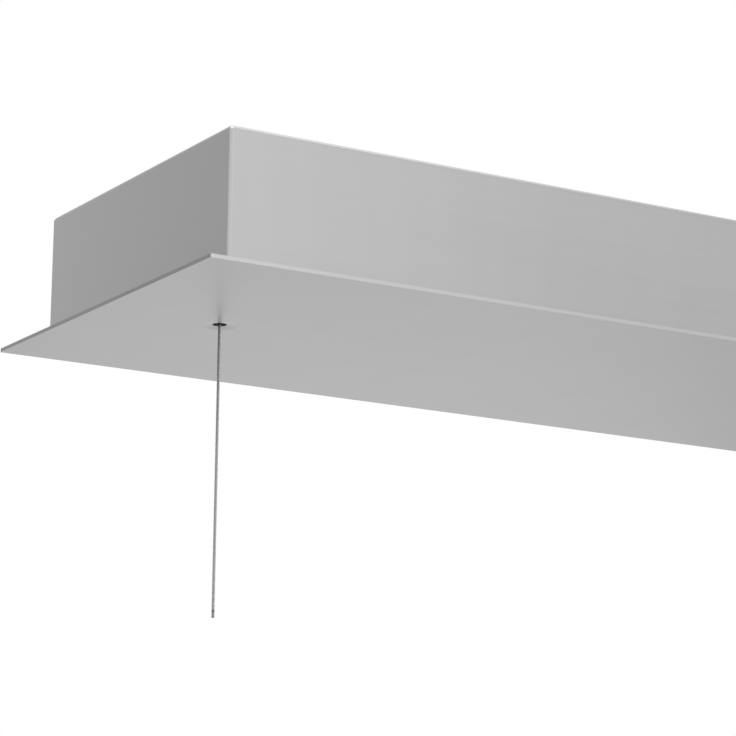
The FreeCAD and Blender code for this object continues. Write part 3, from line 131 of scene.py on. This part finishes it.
# one material's or world's node tree, emptied first
class Sheet:
    def __init__(self, tree):
        self.tree = tree
        tree.nodes.clear()

    # any node: its type, its settings, then values or links for its inputs
    def node(self, kind, settings=None, inputs=None, out=0):
        made = self.tree.nodes.new(kind)
        for key, value in (settings or {}).items():
            if key == "stops":
                stops = made.color_ramp.elements
                for index, (spot, tone) in enumerate(value):
                    stop = stops[index] if index < len(stops) else stops.new(spot)
                    stop.position, stop.color = spot, tone
            else:
                setattr(made, key, value)
        for key, value in (inputs or {}).items():
            if isinstance(value, Signal):
                self.tree.links.new(value.socket, made.inputs[key])
            else:
                made.inputs[key].default_value = value
        return Signal(self, made.outputs[out]) if made.outputs else made

    def place(self):
        return self.node("ShaderNodeTexCoord", out="Object")

    def axis(self, vector, name):
        return self.node("ShaderNodeSeparateXYZ", inputs={"Vector": vector}, out=name)

    # noise with its own stretch along each axis, in features per metre
    def grain(self, stretch, detail=3.0, roughness=0.5, offset=(0, 0, 0)):
        moved = self.node(
            "ShaderNodeMapping", inputs={"Vector": self.place(), "Scale": stretch, "Location": offset}
        )
        return self.node(
            "ShaderNodeTexNoise",
            inputs={"Vector": moved, "Scale": 1.0, "Detail": detail, "Roughness": roughness},
        )

    def blend(self, share, dark, light):
        return self.node(
            "ShaderNodeMix",
            {"data_type": "RGBA"},
            {"Factor": share, colourA: paint(dark), colourB: paint(light)},
            out=mixedColour,
        )

    def bump(self, height, strength, distance):
        return self.node(
            "ShaderNodeBump",
            inputs={"Height": height, "Strength": strength, "Distance": distance},
            out="Normal",
        )


# a mix node's colour sockets share their names with its number sockets, so they go by index
colourA, colourB, mixedColour = 6, 7, 2


def paint(colour):
    return colour if isinstance(colour, Signal) or len(colour) == 4 else (*colour, 1.0)


def grey(level):
    return (level, level, level)


# a colour's darker and lighter neighbours
def spread(colour, darker, lighter):
    return (tuple(part * factor for part in colour) for factor in (darker, lighter))


finishes = {}


# a finish: the maker gets a sheet and gives back the principled shader's inputs
def finish(name, maker, **settings):
    material = bpy.data.materials.new(name)
    material.use_nodes = True
    sheet = Sheet(material.node_tree)
    surface = sheet.node("ShaderNodeBsdfPrincipled", inputs=maker(sheet, **settings))
    sheet.node("ShaderNodeOutputMaterial", inputs={"Surface": surface})
    finishes[name] = material
    return material


# sheet steel brushed to a satin: streaks run the long way of every face
def satin(sheet, tone, streaks, clouds, gloss, wear, cutEdges=None):
    normal = sheet.node("ShaderNodeNewGeometry", out="Normal")
    facingX, facingY, facingZ = (part * part for part in (sheet.axis(normal, name) for name in "XYZ"))
    endFace = facingX.over(0.5)
    fold = 4 * (facingX * facingY + facingX * facingZ + facingY * facingZ)  # 1 in the middle of a bend, where the painted highlight goes
    fine = sheet.grain((5, 1500, 1500), detail=2.0)
    fineEnd = sheet.grain((1500, 7, 1500), detail=2.0, offset=(3, 1, 7))
    coarse = sheet.grain((2.2, 260, 260), detail=3.0, offset=(9, 4, 2))
    coarseEnd = sheet.grain((260, 4, 260), detail=3.0, offset=(5, 8, 1))
    streak = (fine * 0.6 + coarse * 0.4) * (1 - endFace) + (fineEnd * 0.6 + coarseEnd * 0.4) * endFace
    cloud = sheet.grain((9, 22, 22), detail=2.0, roughness=0.6)
    pull = sheet.grain((120, 14, 14), detail=2.0, offset=(2, 6, 3))  # faint marks across the brushing
    shade = 0.5 + streaks * (streak - 0.5) + clouds * (cloud - 0.5) + clouds * 0.5 * (pull - 0.5)
    # painted highlight: the middle of each bend is lightened to stand in for the light that the bend
    # catches
    shade = shade + wear * fold**3
    if cutEdges:  # painted shade and highlight: the plate's end edges are darkened and its long edges lightened, as light falls on them
        short, long = cutEdges
        edge = 0.5 - facingZ.over(0.5) * 0.5
        shade = shade + edge * (endFace * (short - long) + long)
    return {
        "Base Color": sheet.blend(shade, grey(tone * 0.6), grey(tone * 1.4)),
        "Metallic": 1.0,
        "Roughness": gloss + 0.1 * (streak - 0.5) + 0.05 * (cloud - 0.5),
        "Normal": sheet.bump(streak, 0.05, 0.0001),
    }


# bare plated sheet: soft cloudy plating with short rolling marks
def plated(sheet, colour, gloss, spangle):
    cells = sheet.node(
        "ShaderNodeTexVoronoi",
        {"feature": "F1"},
        {"Vector": sheet.place(), "Scale": 260.0, "Randomness": 1.0},
        out="Color",
    )
    tilt = sheet.axis(cells, "X")
    rolled = sheet.grain((40, 900, 900), detail=2.0)
    cloud = sheet.grain((60, 60, 60), detail=3.0)
    share = 0.5 + spangle * (tilt - 0.5) + 0.25 * (rolled - 0.5) + 0.4 * (cloud - 0.5)
    dark, light = spread(colour, 0.78, 1.16)
    return {
        "Base Color": sheet.blend(share, dark, light),
        "Metallic": 1.0,
        "Roughness": gloss + 0.12 * (cloud - 0.5) + 0.08 * (tilt - 0.5),
        "Normal": sheet.bump(rolled, 0.06, 0.0001),
    }


# turned and plated brass: fine tool rings that follow the height
def turned(sheet, colour, gloss, rings):
    tool = sheet.grain((300, 300, rings), detail=1.5)
    handled = sheet.grain((400, 400, 400), detail=3.0)
    dark, light = spread(colour, 0.84, 1.1)
    return {
        "Base Color": sheet.blend(0.5 + 0.6 * (tool - 0.5) + 0.3 * (handled - 0.5), dark, light),
        "Metallic": 1.0,
        "Roughness": gloss + 0.12 * (handled - 0.5),
        "Normal": sheet.bump(tool, 0.12, 0.00005),
    }


# drawn wire: long die marks and a thin film of oil
def drawn(sheet, colour, gloss):
    marks = sheet.grain((3000, 3000, 500), detail=2.0)
    film = sheet.grain((700, 700, 120), detail=2.0)
    dark, light = spread(colour, 0.75, 1.15)
    return {
        "Base Color": sheet.blend(0.6 * marks + 0.4 * film, dark, light),
        "Metallic": 1.0,
        "Roughness": gloss + 0.15 * (film - 0.5),
        "Normal": sheet.bump(marks, 0.1, 0.00003),
    }


# moulded plastic and rubber: a spark-eroded grain with faint flow clouds
def moulded(sheet, colour, gloss, texture, depth):
    grain = sheet.grain((texture,) * 3, detail=3.0, roughness=0.6)
    flow = sheet.grain((35, 35, 90), detail=2.0)
    dark, light = spread(colour, 0.86, 1.12)
    return {
        "Base Color": sheet.blend(0.5 * flow + 0.5 * grain, dark, light),
        "Roughness": gloss + 0.14 * (grain - 0.5),
        "Normal": sheet.bump(grain, depth, 0.0001),
    }


# stove enamel on the driver's case: orange peel and slightly thin colour in patches
def enamel(sheet, colour, gloss):
    peel = sheet.grain((420, 420, 420), detail=1.0)
    thin = sheet.grain((30, 30, 30), detail=3.0)
    dark, light = spread(colour, 0.93, 1.04)
    return {
        "Base Color": sheet.blend(thin, dark, light),
        "Roughness": gloss + 0.08 * (peel - 0.5),
        "Coat Weight": 0.3 + 0.2 * (thin - 0.5),
        "Coat Roughness": 0.2,
        "Normal": sheet.bump(peel, 0.12, 0.0002),
    }


# printed board: solder mask over copper runs, with the glass weave showing a little
def printed(sheet, mask, copper, pitch, weaving):
    place = sheet.place()
    along, across = sheet.axis(place, "X"), sheet.axis(place, "Y")
    lanes = (across * (math.tau / pitch)).wave().over(0.2)
    breaks = sheet.grain((60, 420, 10), detail=0.0).over(0.48)
    runs = lanes * breaks
    weave = (along * weaving).wave() * (across * weaving).wave()
    colour = sheet.blend(runs, mask, copper)
    return {
        "Base Color": sheet.blend(0.06 + 0.04 * weave, colour, grey(0.5)),
        "Roughness": 0.32 + 0.1 * runs + 0.03 * weave,
        "Normal": sheet.bump(runs + 0.15 * weave, 0.3, 0.00006),
    }


# driver's large parts: each stretch of the board has its own casing colour
def casings(sheet, tones, start, length, gloss):
    along = sheet.axis(sheet.place(), "X")
    share = (along - start) / length
    stops = [(spot, paint(tone)) for spot, tone in tones]
    colour = sheet.node("ShaderNodeValToRGB", {"stops": stops}, {"Fac": share}, out="Color")
    grain = sheet.grain((900, 900, 900), detail=2.0)
    return {
        "Base Color": sheet.blend(0.15 * grain, colour, grey(0.6)),
        "Roughness": gloss + 0.15 * (grain - 0.5),
        "Normal": sheet.bump(grain, 0.1, 0.0001),
    }


# wire insulation: glossy where it was drawn out, with handling marks
def sleeving(sheet, colour, gloss):
    drawnOut = sheet.grain((40, 500, 500), detail=2.0)
    handled = sheet.grain((220, 220, 220), detail=3.0)
    dark, light = spread(colour, 0.85, 1.1)
    return {
        "Base Color": sheet.blend(0.5 * drawnOut + 0.5 * handled, dark, light),
        "Roughness": gloss + 0.15 * (handled - 0.5),
        "Normal": sheet.bump(drawnOut, 0.05, 0.0001),
    }


# the pan's finish: a painted highlight along the middle of its bends
finish("satin_sheet", satin, tone=0.4, streaks=0.13, clouds=0.1, gloss=0.4, wear=0.3)
# the plate's finish: painted shade on its end edges and a painted highlight on its long edges
finish(
    "satin_plate", satin, tone=0.4, streaks=0.13, clouds=0.1, gloss=0.4, wear=0.0, cutEdges=(-0.75, 0.3)
)
finish("zinc_sheet", plated, colour=(0.6, 0.615, 0.63), gloss=0.36, spangle=0.4)
finish("nickel", turned, colour=(0.6, 0.585, 0.55), gloss=0.24, rings=9000)
finish("screw_zinc", turned, colour=(0.58, 0.6, 0.62), gloss=0.3, rings=5000)
finish("screw_green", plated, colour=(0.06, 0.32, 0.12), gloss=0.34, spangle=0.1)
finish("rope_steel", drawn, colour=(0.36, 0.36, 0.355), gloss=0.18)
finish("fused_steel", drawn, colour=(0.32, 0.32, 0.315), gloss=0.26)
finish("spring_steel", drawn, colour=(0.4, 0.4, 0.41), gloss=0.28)
finish("ball_steel", turned, colour=(0.68, 0.68, 0.68), gloss=0.1, rings=800)
finish("magnet_nickel", turned, colour=(0.58, 0.565, 0.53), gloss=0.2, rings=2500)
finish("tinned_copper", plated, colour=(0.66, 0.63, 0.58), gloss=0.3, spangle=0.15)
finish("white_enamel", enamel, colour=(0.78, 0.78, 0.76), gloss=0.38)
finish("board", printed, mask=(0.012, 0.12, 0.05), copper=(0.03, 0.2, 0.07), pitch=0.0036, weaving=2600)
finish(
    "component",
    casings,
    tones=[
        (0.0, (0.03, 0.03, 0.035)),
        (0.3, (0.35, 0.22, 0.03)),
        (0.6, (0.02, 0.02, 0.02)),
        (0.9, (0.05, 0.07, 0.2)),
    ],
    start=-0.2,  # the driver's stretch along the canopy
    length=0.16,
    gloss=0.42,
)
finish("terminal", moulded, colour=(0.66, 0.64, 0.58), gloss=0.48, texture=1400, depth=0.1)
finish("black_nylon", moulded, colour=(0.022, 0.022, 0.024), gloss=0.46, texture=2200, depth=0.25)
finish("seal_rubber", moulded, colour=(0.03, 0.03, 0.03), gloss=0.72, texture=900, depth=0.2)
finish("insulation_white", sleeving, colour=(0.7, 0.7, 0.68), gloss=0.36)
finish("insulation_black", sleeving, colour=(0.02, 0.02, 0.021), gloss=0.36)
finish("insulation_blue", sleeving, colour=(0.02, 0.1, 0.42), gloss=0.36)
finish("insulation_red", sleeving, colour=(0.5, 0.02, 0.018), gloss=0.36)
finish("insulation_green", sleeving, colour=(0.03, 0.28, 0.07), gloss=0.36)

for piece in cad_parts.values():
    for slot in piece.material_slots:
        slot.material = finishes[slot.material.name.split(".")[0]]
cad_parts["cover_plate"].material_slots[0].material = finishes["satin_plate"]
print("finishes made:", len(finishes))


def meshPiece(name, mesh, finishName, body):
    made = bpy.data.objects.new(name, mesh)
    scene.collection.objects.link(made)
    mesh.materials.clear()
    mesh.materials.append(finishes[finishName])
    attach(made, body)
    return made


# the mesh that an object gives once its curve or modifiers are worked out
def finalMesh(source):
    bpy.context.view_layer.update()
    mesh = bpy.data.meshes.new_from_object(source.evaluated_get(bpy.context.evaluated_depsgraph_get()))
    bpy.data.objects.remove(source)
    return mesh


# a smooth line through space with the route's points as its control points
def routeCurve(name, points, radius=0.0, fineness=16):
    curve = bpy.data.curves.new(name, "CURVE")
    curve.dimensions = "3D"
    line = curve.splines.new("NURBS")
    line.points.add(len(points) - 1)
    for point, spot in zip(line.points, points):
        point.co = (*spot, 1.0)
    line.order_u = 3
    line.use_endpoint_u = True
    curve.resolution_u = fineness
    curve.bevel_depth = radius
    curve.bevel_resolution = 4
    curve.use_fill_caps = radius > 0
    made = bpy.data.objects.new(name, curve)
    scene.collection.objects.link(made)
    return made


def pointsAlong(route):
    mesh = finalMesh(route)
    spots = [vertex.co.copy() for vertex in mesh.vertices]
    bpy.data.meshes.remove(mesh)
    return spots


# suspension cables: one straight wire with six laid round it

rope = {
    "reach": 0.2735,  # from the middle to each cable
    "top": -0.009,
    "mouth": -0.0385,  # where it leaves the gripper's nose
    "bottom": -0.1392,
    "tip": -0.1412,  # the last 2 mm are fused, so that the wires can't open
    "diameter": 0.001,
    "wire": 0.00033,
    "fusedWire": 0.00034,
    "outerWires": 6,
    "lay": 0.0125,  # height of one turn
    "stepsPerTurn": 16,
    "sides": 8,
}


# a closed round tube along a row of centres, added to a mesh's lists
def addTube(verts, faces, centres, radius, sides):
    first = len(verts)
    for index, centre in enumerate(centres):
        before, after = centres[max(index - 1, 0)], centres[min(index + 1, len(centres) - 1)]
        heading = (after - before).normalized()
        side = heading.cross(Vector((0, 1, 0))).normalized()
        other = heading.cross(side)
        for step in range(sides):
            angle = math.tau * step / sides
            verts.append(centre + side * (radius * math.cos(angle)) + other * (radius * math.sin(angle)))
    for ring in range(len(centres) - 1):
        for step in range(sides):
            here, there = first + ring * sides, first + (ring + 1) * sides
            faces.append((here + step, here + (step + 1) % sides, there + (step + 1) % sides, there + step))
    faces.append(tuple(first + step for step in reversed(range(sides))))
    faces.append(tuple(first + (len(centres) - 1) * sides + step for step in range(sides)))


# a line's points at about even steps, each with its distance from the start
def evenly(spots, step):
    lengths = [0.0]
    for one, two in zip(spots, spots[1:]):
        lengths.append(lengths[-1] + (two - one).length)
    count = max(2, round(lengths[-1] / step))
    found, index = [], 0
    for number in range(count + 1):
        along = lengths[-1] * number / count
        while index < len(spots) - 2 and lengths[index + 1] < along:
            index += 1
        share = (along - lengths[index]) / (lengths[index + 1] - lengths[index])
        found.append((along, spots[index].lerp(spots[index + 1], min(max(share, 0), 1))))
    return found


def layRope(name, side, settings, start, stop, thickness):
    x = settings["reach"] * side
    middle = (start + stop) / 2
    route = routeCurve(name + "_route", [(x, 0, start), (x, 0, middle), (x, 0, stop)], fineness=24)
    spots = pointsAlong(route)
    marks = evenly(spots, settings["lay"] / settings["stepsPerTurn"])
    verts, faces = [], []
    addTube(verts, faces, [spot for along, spot in marks], thickness / 2, settings["sides"])
    for wire in range(settings["outerWires"]):
        turned = []
        for along, spot in marks:
            turn = (along + settings["top"] - start) / settings["lay"] + wire / settings["outerWires"]
            angle = math.tau * turn
            turned.append(spot + Vector((math.cos(angle), math.sin(angle), 0)) * settings["wire"])
        addTube(verts, faces, turned, thickness / 2, settings["sides"])
    mesh = bpy.data.meshes.new(name)
    mesh.from_pydata(verts, [], faces)
    mesh.update()
    mesh.shade_smooth()
    return mesh, spots


for word, side in (("left", -1), ("right", 1)):
    mesh, spots = layRope(f"laid_cable_{word}", side, rope, rope["top"], rope["bottom"], rope["wire"])
    piece = meshPiece(f"laid_cable_{word}", mesh, "rope_steel", f"rope_{word}")
    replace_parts(piece, f"suspension_cable_{word}")
    overlap = rope["bottom"] + rope["wire"] / 2
    mesh, _ = layRope(f"fused_end_{word}", side, rope, overlap, rope["tip"], rope["fusedWire"])
    fused = meshPiece(f"fused_end_{word}", mesh, "fused_steel", f"rope_{word}")
    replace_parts(fused, f"cable_end_{word}")
print("cables laid")


# gripper springs: round wire wound by a node tree

spring = {
    "bottom": -0.02699,  # wire's middle
    "top": -0.02125,
    "seat": -0.02105,  # fixed end
    "coilRadius": 0.00225,
    "wireRadius": 0.0002,
    "turns": 5.0,
    "stepsPerTurn": 32,
    "sides": 12,
    "keep": 0.674,  # share of its length that is left when pressed
}


def springTree(settings):
    tree = bpy.data.node_groups.new("wind spring", "GeometryNodeTree")
    tree.is_modifier = True
    for name in ("Turns", "Coil Radius", "Height", "Wire Radius"):
        tree.interface.new_socket(name, in_out="INPUT", socket_type="NodeSocketFloat")
    tree.interface.new_socket("Place", in_out="INPUT", socket_type="NodeSocketVector")
    tree.interface.new_socket("Finish", in_out="INPUT", socket_type="NodeSocketMaterial")
    tree.interface.new_socket("Geometry", in_out="OUTPUT", socket_type="NodeSocketGeometry")
    inputs = tree.nodes.new("NodeGroupInput")
    output = tree.nodes.new("NodeGroupOutput")
    kinds = {
        "helix": "GeometryNodeCurveSpiral",
        "section": "GeometryNodeCurvePrimitiveCircle",
        "wire": "GeometryNodeCurveToMesh",
        "move": "GeometryNodeTransform",
        "realize": "GeometryNodeRealizeInstances",
        "paint": "GeometryNodeSetMaterial",
    }
    made = {key: tree.nodes.new(kind) for key, kind in kinds.items()}
    made["helix"].inputs["Resolution"].default_value = settings["stepsPerTurn"]
    made["section"].inputs["Resolution"].default_value = settings["sides"]
    made["wire"].inputs["Fill Caps"].default_value = True
    for source, plug, target, hole in (
        (inputs, "Turns", "helix", "Rotations"),
        (inputs, "Coil Radius", "helix", "Start Radius"),
        (inputs, "Coil Radius", "helix", "End Radius"),
        (inputs, "Height", "helix", "Height"),
        (inputs, "Wire Radius", "section", "Radius"),
        (made["helix"], "Curve", "wire", "Curve"),
        (made["section"], "Curve", "wire", "Profile Curve"),
        (made["wire"], "Mesh", "move", "Geometry"),
        (inputs, "Place", "move", "Translation"),
        (made["move"], "Geometry", "realize", "Geometry"),
        (made["realize"], "Geometry", "paint", "Geometry"),
        (inputs, "Finish", "paint", "Material"),
    ):
        tree.links.new(source.outputs[plug], made[target].inputs[hole])
    tree.links.new(made["paint"].outputs["Geometry"], output.inputs["Geometry"])
    return tree


# the mesh that a node tree makes out of nothing but its own values
def grow(name, tree, values):
    carrier = bpy.data.objects.new(name, bpy.data.meshes.new(name))
    scene.collection.objects.link(carrier)
    modifier = carrier.modifiers.new("grow", "NODES")
    modifier.node_group = tree
    for item in tree.interface.items_tree:
        if item.in_out == "INPUT" and item.name in values:
            modifier[item.identifier] = values[item.name]
    mesh = finalMesh(carrier)
    mesh.name = name
    return mesh


windSpring = springTree(spring)
for word, side in (("left", -1), ("right", 1)):
    x = rope["reach"] * side
    values = {
        "Turns": spring["turns"],
        "Coil Radius": spring["coilRadius"],
        "Height": spring["top"] - spring["bottom"],
        "Wire Radius": spring["wireRadius"],
        "Place": (x, 0.0, spring["bottom"]),
        "Finish": finishes["spring_steel"],
    }
    mesh = grow(f"wound_spring_{word}", windSpring, values)
    mesh.shade_smooth()
    piece = meshPiece(f"wound_spring_{word}", mesh, "spring_steel", "canopy")
    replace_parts(piece, f"gripper_spring_{word}")
    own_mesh(piece)
print("springs wound")


# leads between the driver and the blocks, and the earth lead

lead = {
    "radius": 0.0011,
    "fineness": 12,
    "mainsAlong": (-0.0325, -0.0205, -0.0045, 0.025, 0.045, 0.056),
    "mainsHeights": (-0.0161, -0.0161, -0.0141, -0.0092, -0.0072, -0.0072),
    "lampAlong": (-0.0325, -0.0205, -0.0045, 0.0195, 0.045, 0.078, 0.133, 0.165, 0.177, 0.184),
    "lampHeights": (
        -0.0161, -0.0161, -0.0121, -0.0046, -0.0026, -0.0026, -0.0026, -0.0046, -0.0072, -0.0072
    ),
}


# from the driver's hole at y to a pole of the mains block
def mainsLead(y, pole):
    across = (y, y, y - 0.002, (y + pole) / 2, pole, pole)
    return list(zip(lead["mainsAlong"], across, lead["mainsHeights"]))


# from the driver's hole at y, in its lane along the pan's top, to a pole of the lamp block
def lampLead(y, lane, pole):
    across = (y, y, y - 0.001, y - 0.004, lane, lane, lane + 0.004, (lane + pole) / 2, pole, pole)
    return list(zip(lead["lampAlong"], across, lead["lampHeights"]))


leads = {
    "lead_neutral": ("insulation_white", mainsLead(0.0437, 0.034)),
    "lead_line": ("insulation_black", mainsLead(0.0463, 0.044)),
    "lead_minus": ("insulation_blue", lampLead(0.0257, 0.0097, 0.029)),
    "lead_plus": ("insulation_red", lampLead(0.0283, 0.0123, 0.039)),
    "lead_earth": (
        "insulation_green",
        [
            (0.068, 0.024, -0.0072),
            (0.075, 0.024, -0.0072),
            (0.079, 0.032, -0.0052),
            (0.082, 0.042, -0.003),
            (0.086, 0.046, -0.003),
            (0.096, 0.046, -0.003),
        ],
    ),
}

for node, (finishName, points) in leads.items():
    mesh = finalMesh(routeCurve("round_" + node, points, lead["radius"], lead["fineness"]))
    mesh.shade_smooth()
    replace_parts(meshPiece("round_" + node, mesh, finishName, "canopy"), node)
print("leads run")


# studio: white surroundings, a pale floor and soft lamps

studio = {
    "surroundings": 0.82,  # what lights matt surfaces; the eye and gloss see white
    "floorHeight": -2.8,  # a room high, so that the canopy can be seen from below
    "floorSize": 60.0,
    "floorTone": 0.92,
    "lampTarget": (-0.1, 0, -0.04),
}

lamps = {
    "frontSoft": {"place": (0.2, -2.2, 0.5), "size": 1.5, "power": 4.9},
    "cameraSide": {"place": (-1.3, -1.75, -0.35), "size": 0.6, "power": 4},
    "overhead": {"place": (-0.2, -0.5, 1.6), "size": 2.2, "power": 14},
    "belowSoft": {"place": (0.7, 1.6, -0.55), "size": 0.9, "power": 0.7},
    "farEnd": {"place": (1.6, -0.2, -0.35), "size": 0.7, "power": 4.5},
}

# upright boards that only reflections see: one greys the end face, one gives the cable its dark side
shades = {
    "endShade": {"y": 0.3, "x": (-0.9, -0.44), "z": (-0.08, 0.6), "tone": 0.68},
    "cableShade": {"y": 0.3, "x": (-0.7, -0.38), "z": (-0.3, -0.08), "tone": 0.4},
}


def addWorld(settings):
    world = bpy.data.worlds.new("studio")
    world.use_nodes = True
    scene.world = world
    sheet = Sheet(world.node_tree)
    rays = ("Is Camera Ray", "Is Glossy Ray", "Is Transmission Ray")
    direct, glossy, through = (sheet.node("ShaderNodeLightPath", out=ray) for ray in rays)
    seen = direct.largest(glossy).largest(through)
    strength = settings["surroundings"] + (1 - settings["surroundings"]) * seen
    light = sheet.node("ShaderNodeBackground", inputs={"Color": paint(grey(1.0)), "Strength": strength})
    sheet.node("ShaderNodeOutputWorld", inputs={"Surface": light})


def floorFinish(sheet, tone):
    speckle = sheet.grain((14, 14, 14), detail=2.0)
    dark, light = spread(grey(tone), 0.99, 1.01)
    return {"Base Color": sheet.blend(speckle, dark, light), "Roughness": 0.9}


def glowFinish(name, tone):
    material = bpy.data.materials.new(name)
    material.use_nodes = True
    sheet = Sheet(material.node_tree)
    glow = sheet.node("ShaderNodeEmission", inputs={"Color": paint(grey(tone)), "Strength": 1.0})
    sheet.node("ShaderNodeOutputMaterial", inputs={"Surface": glow})
    return material


def addBoard(name, corners, material):
    mesh = bpy.data.meshes.new(name)
    mesh.from_pydata(corners, [], [(0, 1, 2, 3)])
    mesh.materials.append(material)
    made = bpy.data.objects.new(name, mesh)
    scene.collection.objects.link(made)
    return made


def addLamp(name, target, place, size, power):
    data = bpy.data.lights.new(name, "AREA")
    data.shape, data.size, data.energy = "DISK", size, power
    made = bpy.data.objects.new(name, data)
    made.location = place
    made.rotation_euler = (Vector(target) - Vector(place)).to_track_quat("-Z", "Y").to_euler()
    scene.collection.objects.link(made)


addWorld(studio)
half, low = studio["floorSize"] / 2, studio["floorHeight"]
addBoard(
    "floor",
    [(-half, -half, low), (half, -half, low), (half, half, low), (-half, half, low)],
    finish("floor_paint", floorFinish, tone=studio["floorTone"]),
)
for name, settings in shades.items():
    y, (left, right), (low, high) = settings["y"], settings["x"], settings["z"]
    corners = ((left, y, low), (right, y, low), (right, y, high), (left, y, high))
    board = addBoard(name, corners, glowFinish(name, settings["tone"]))
    board.visible_camera = board.visible_diffuse = board.visible_shadow = False
for name, settings in lamps.items():
    addLamp(name, studio["lampTarget"], **settings)
print("studio lit")
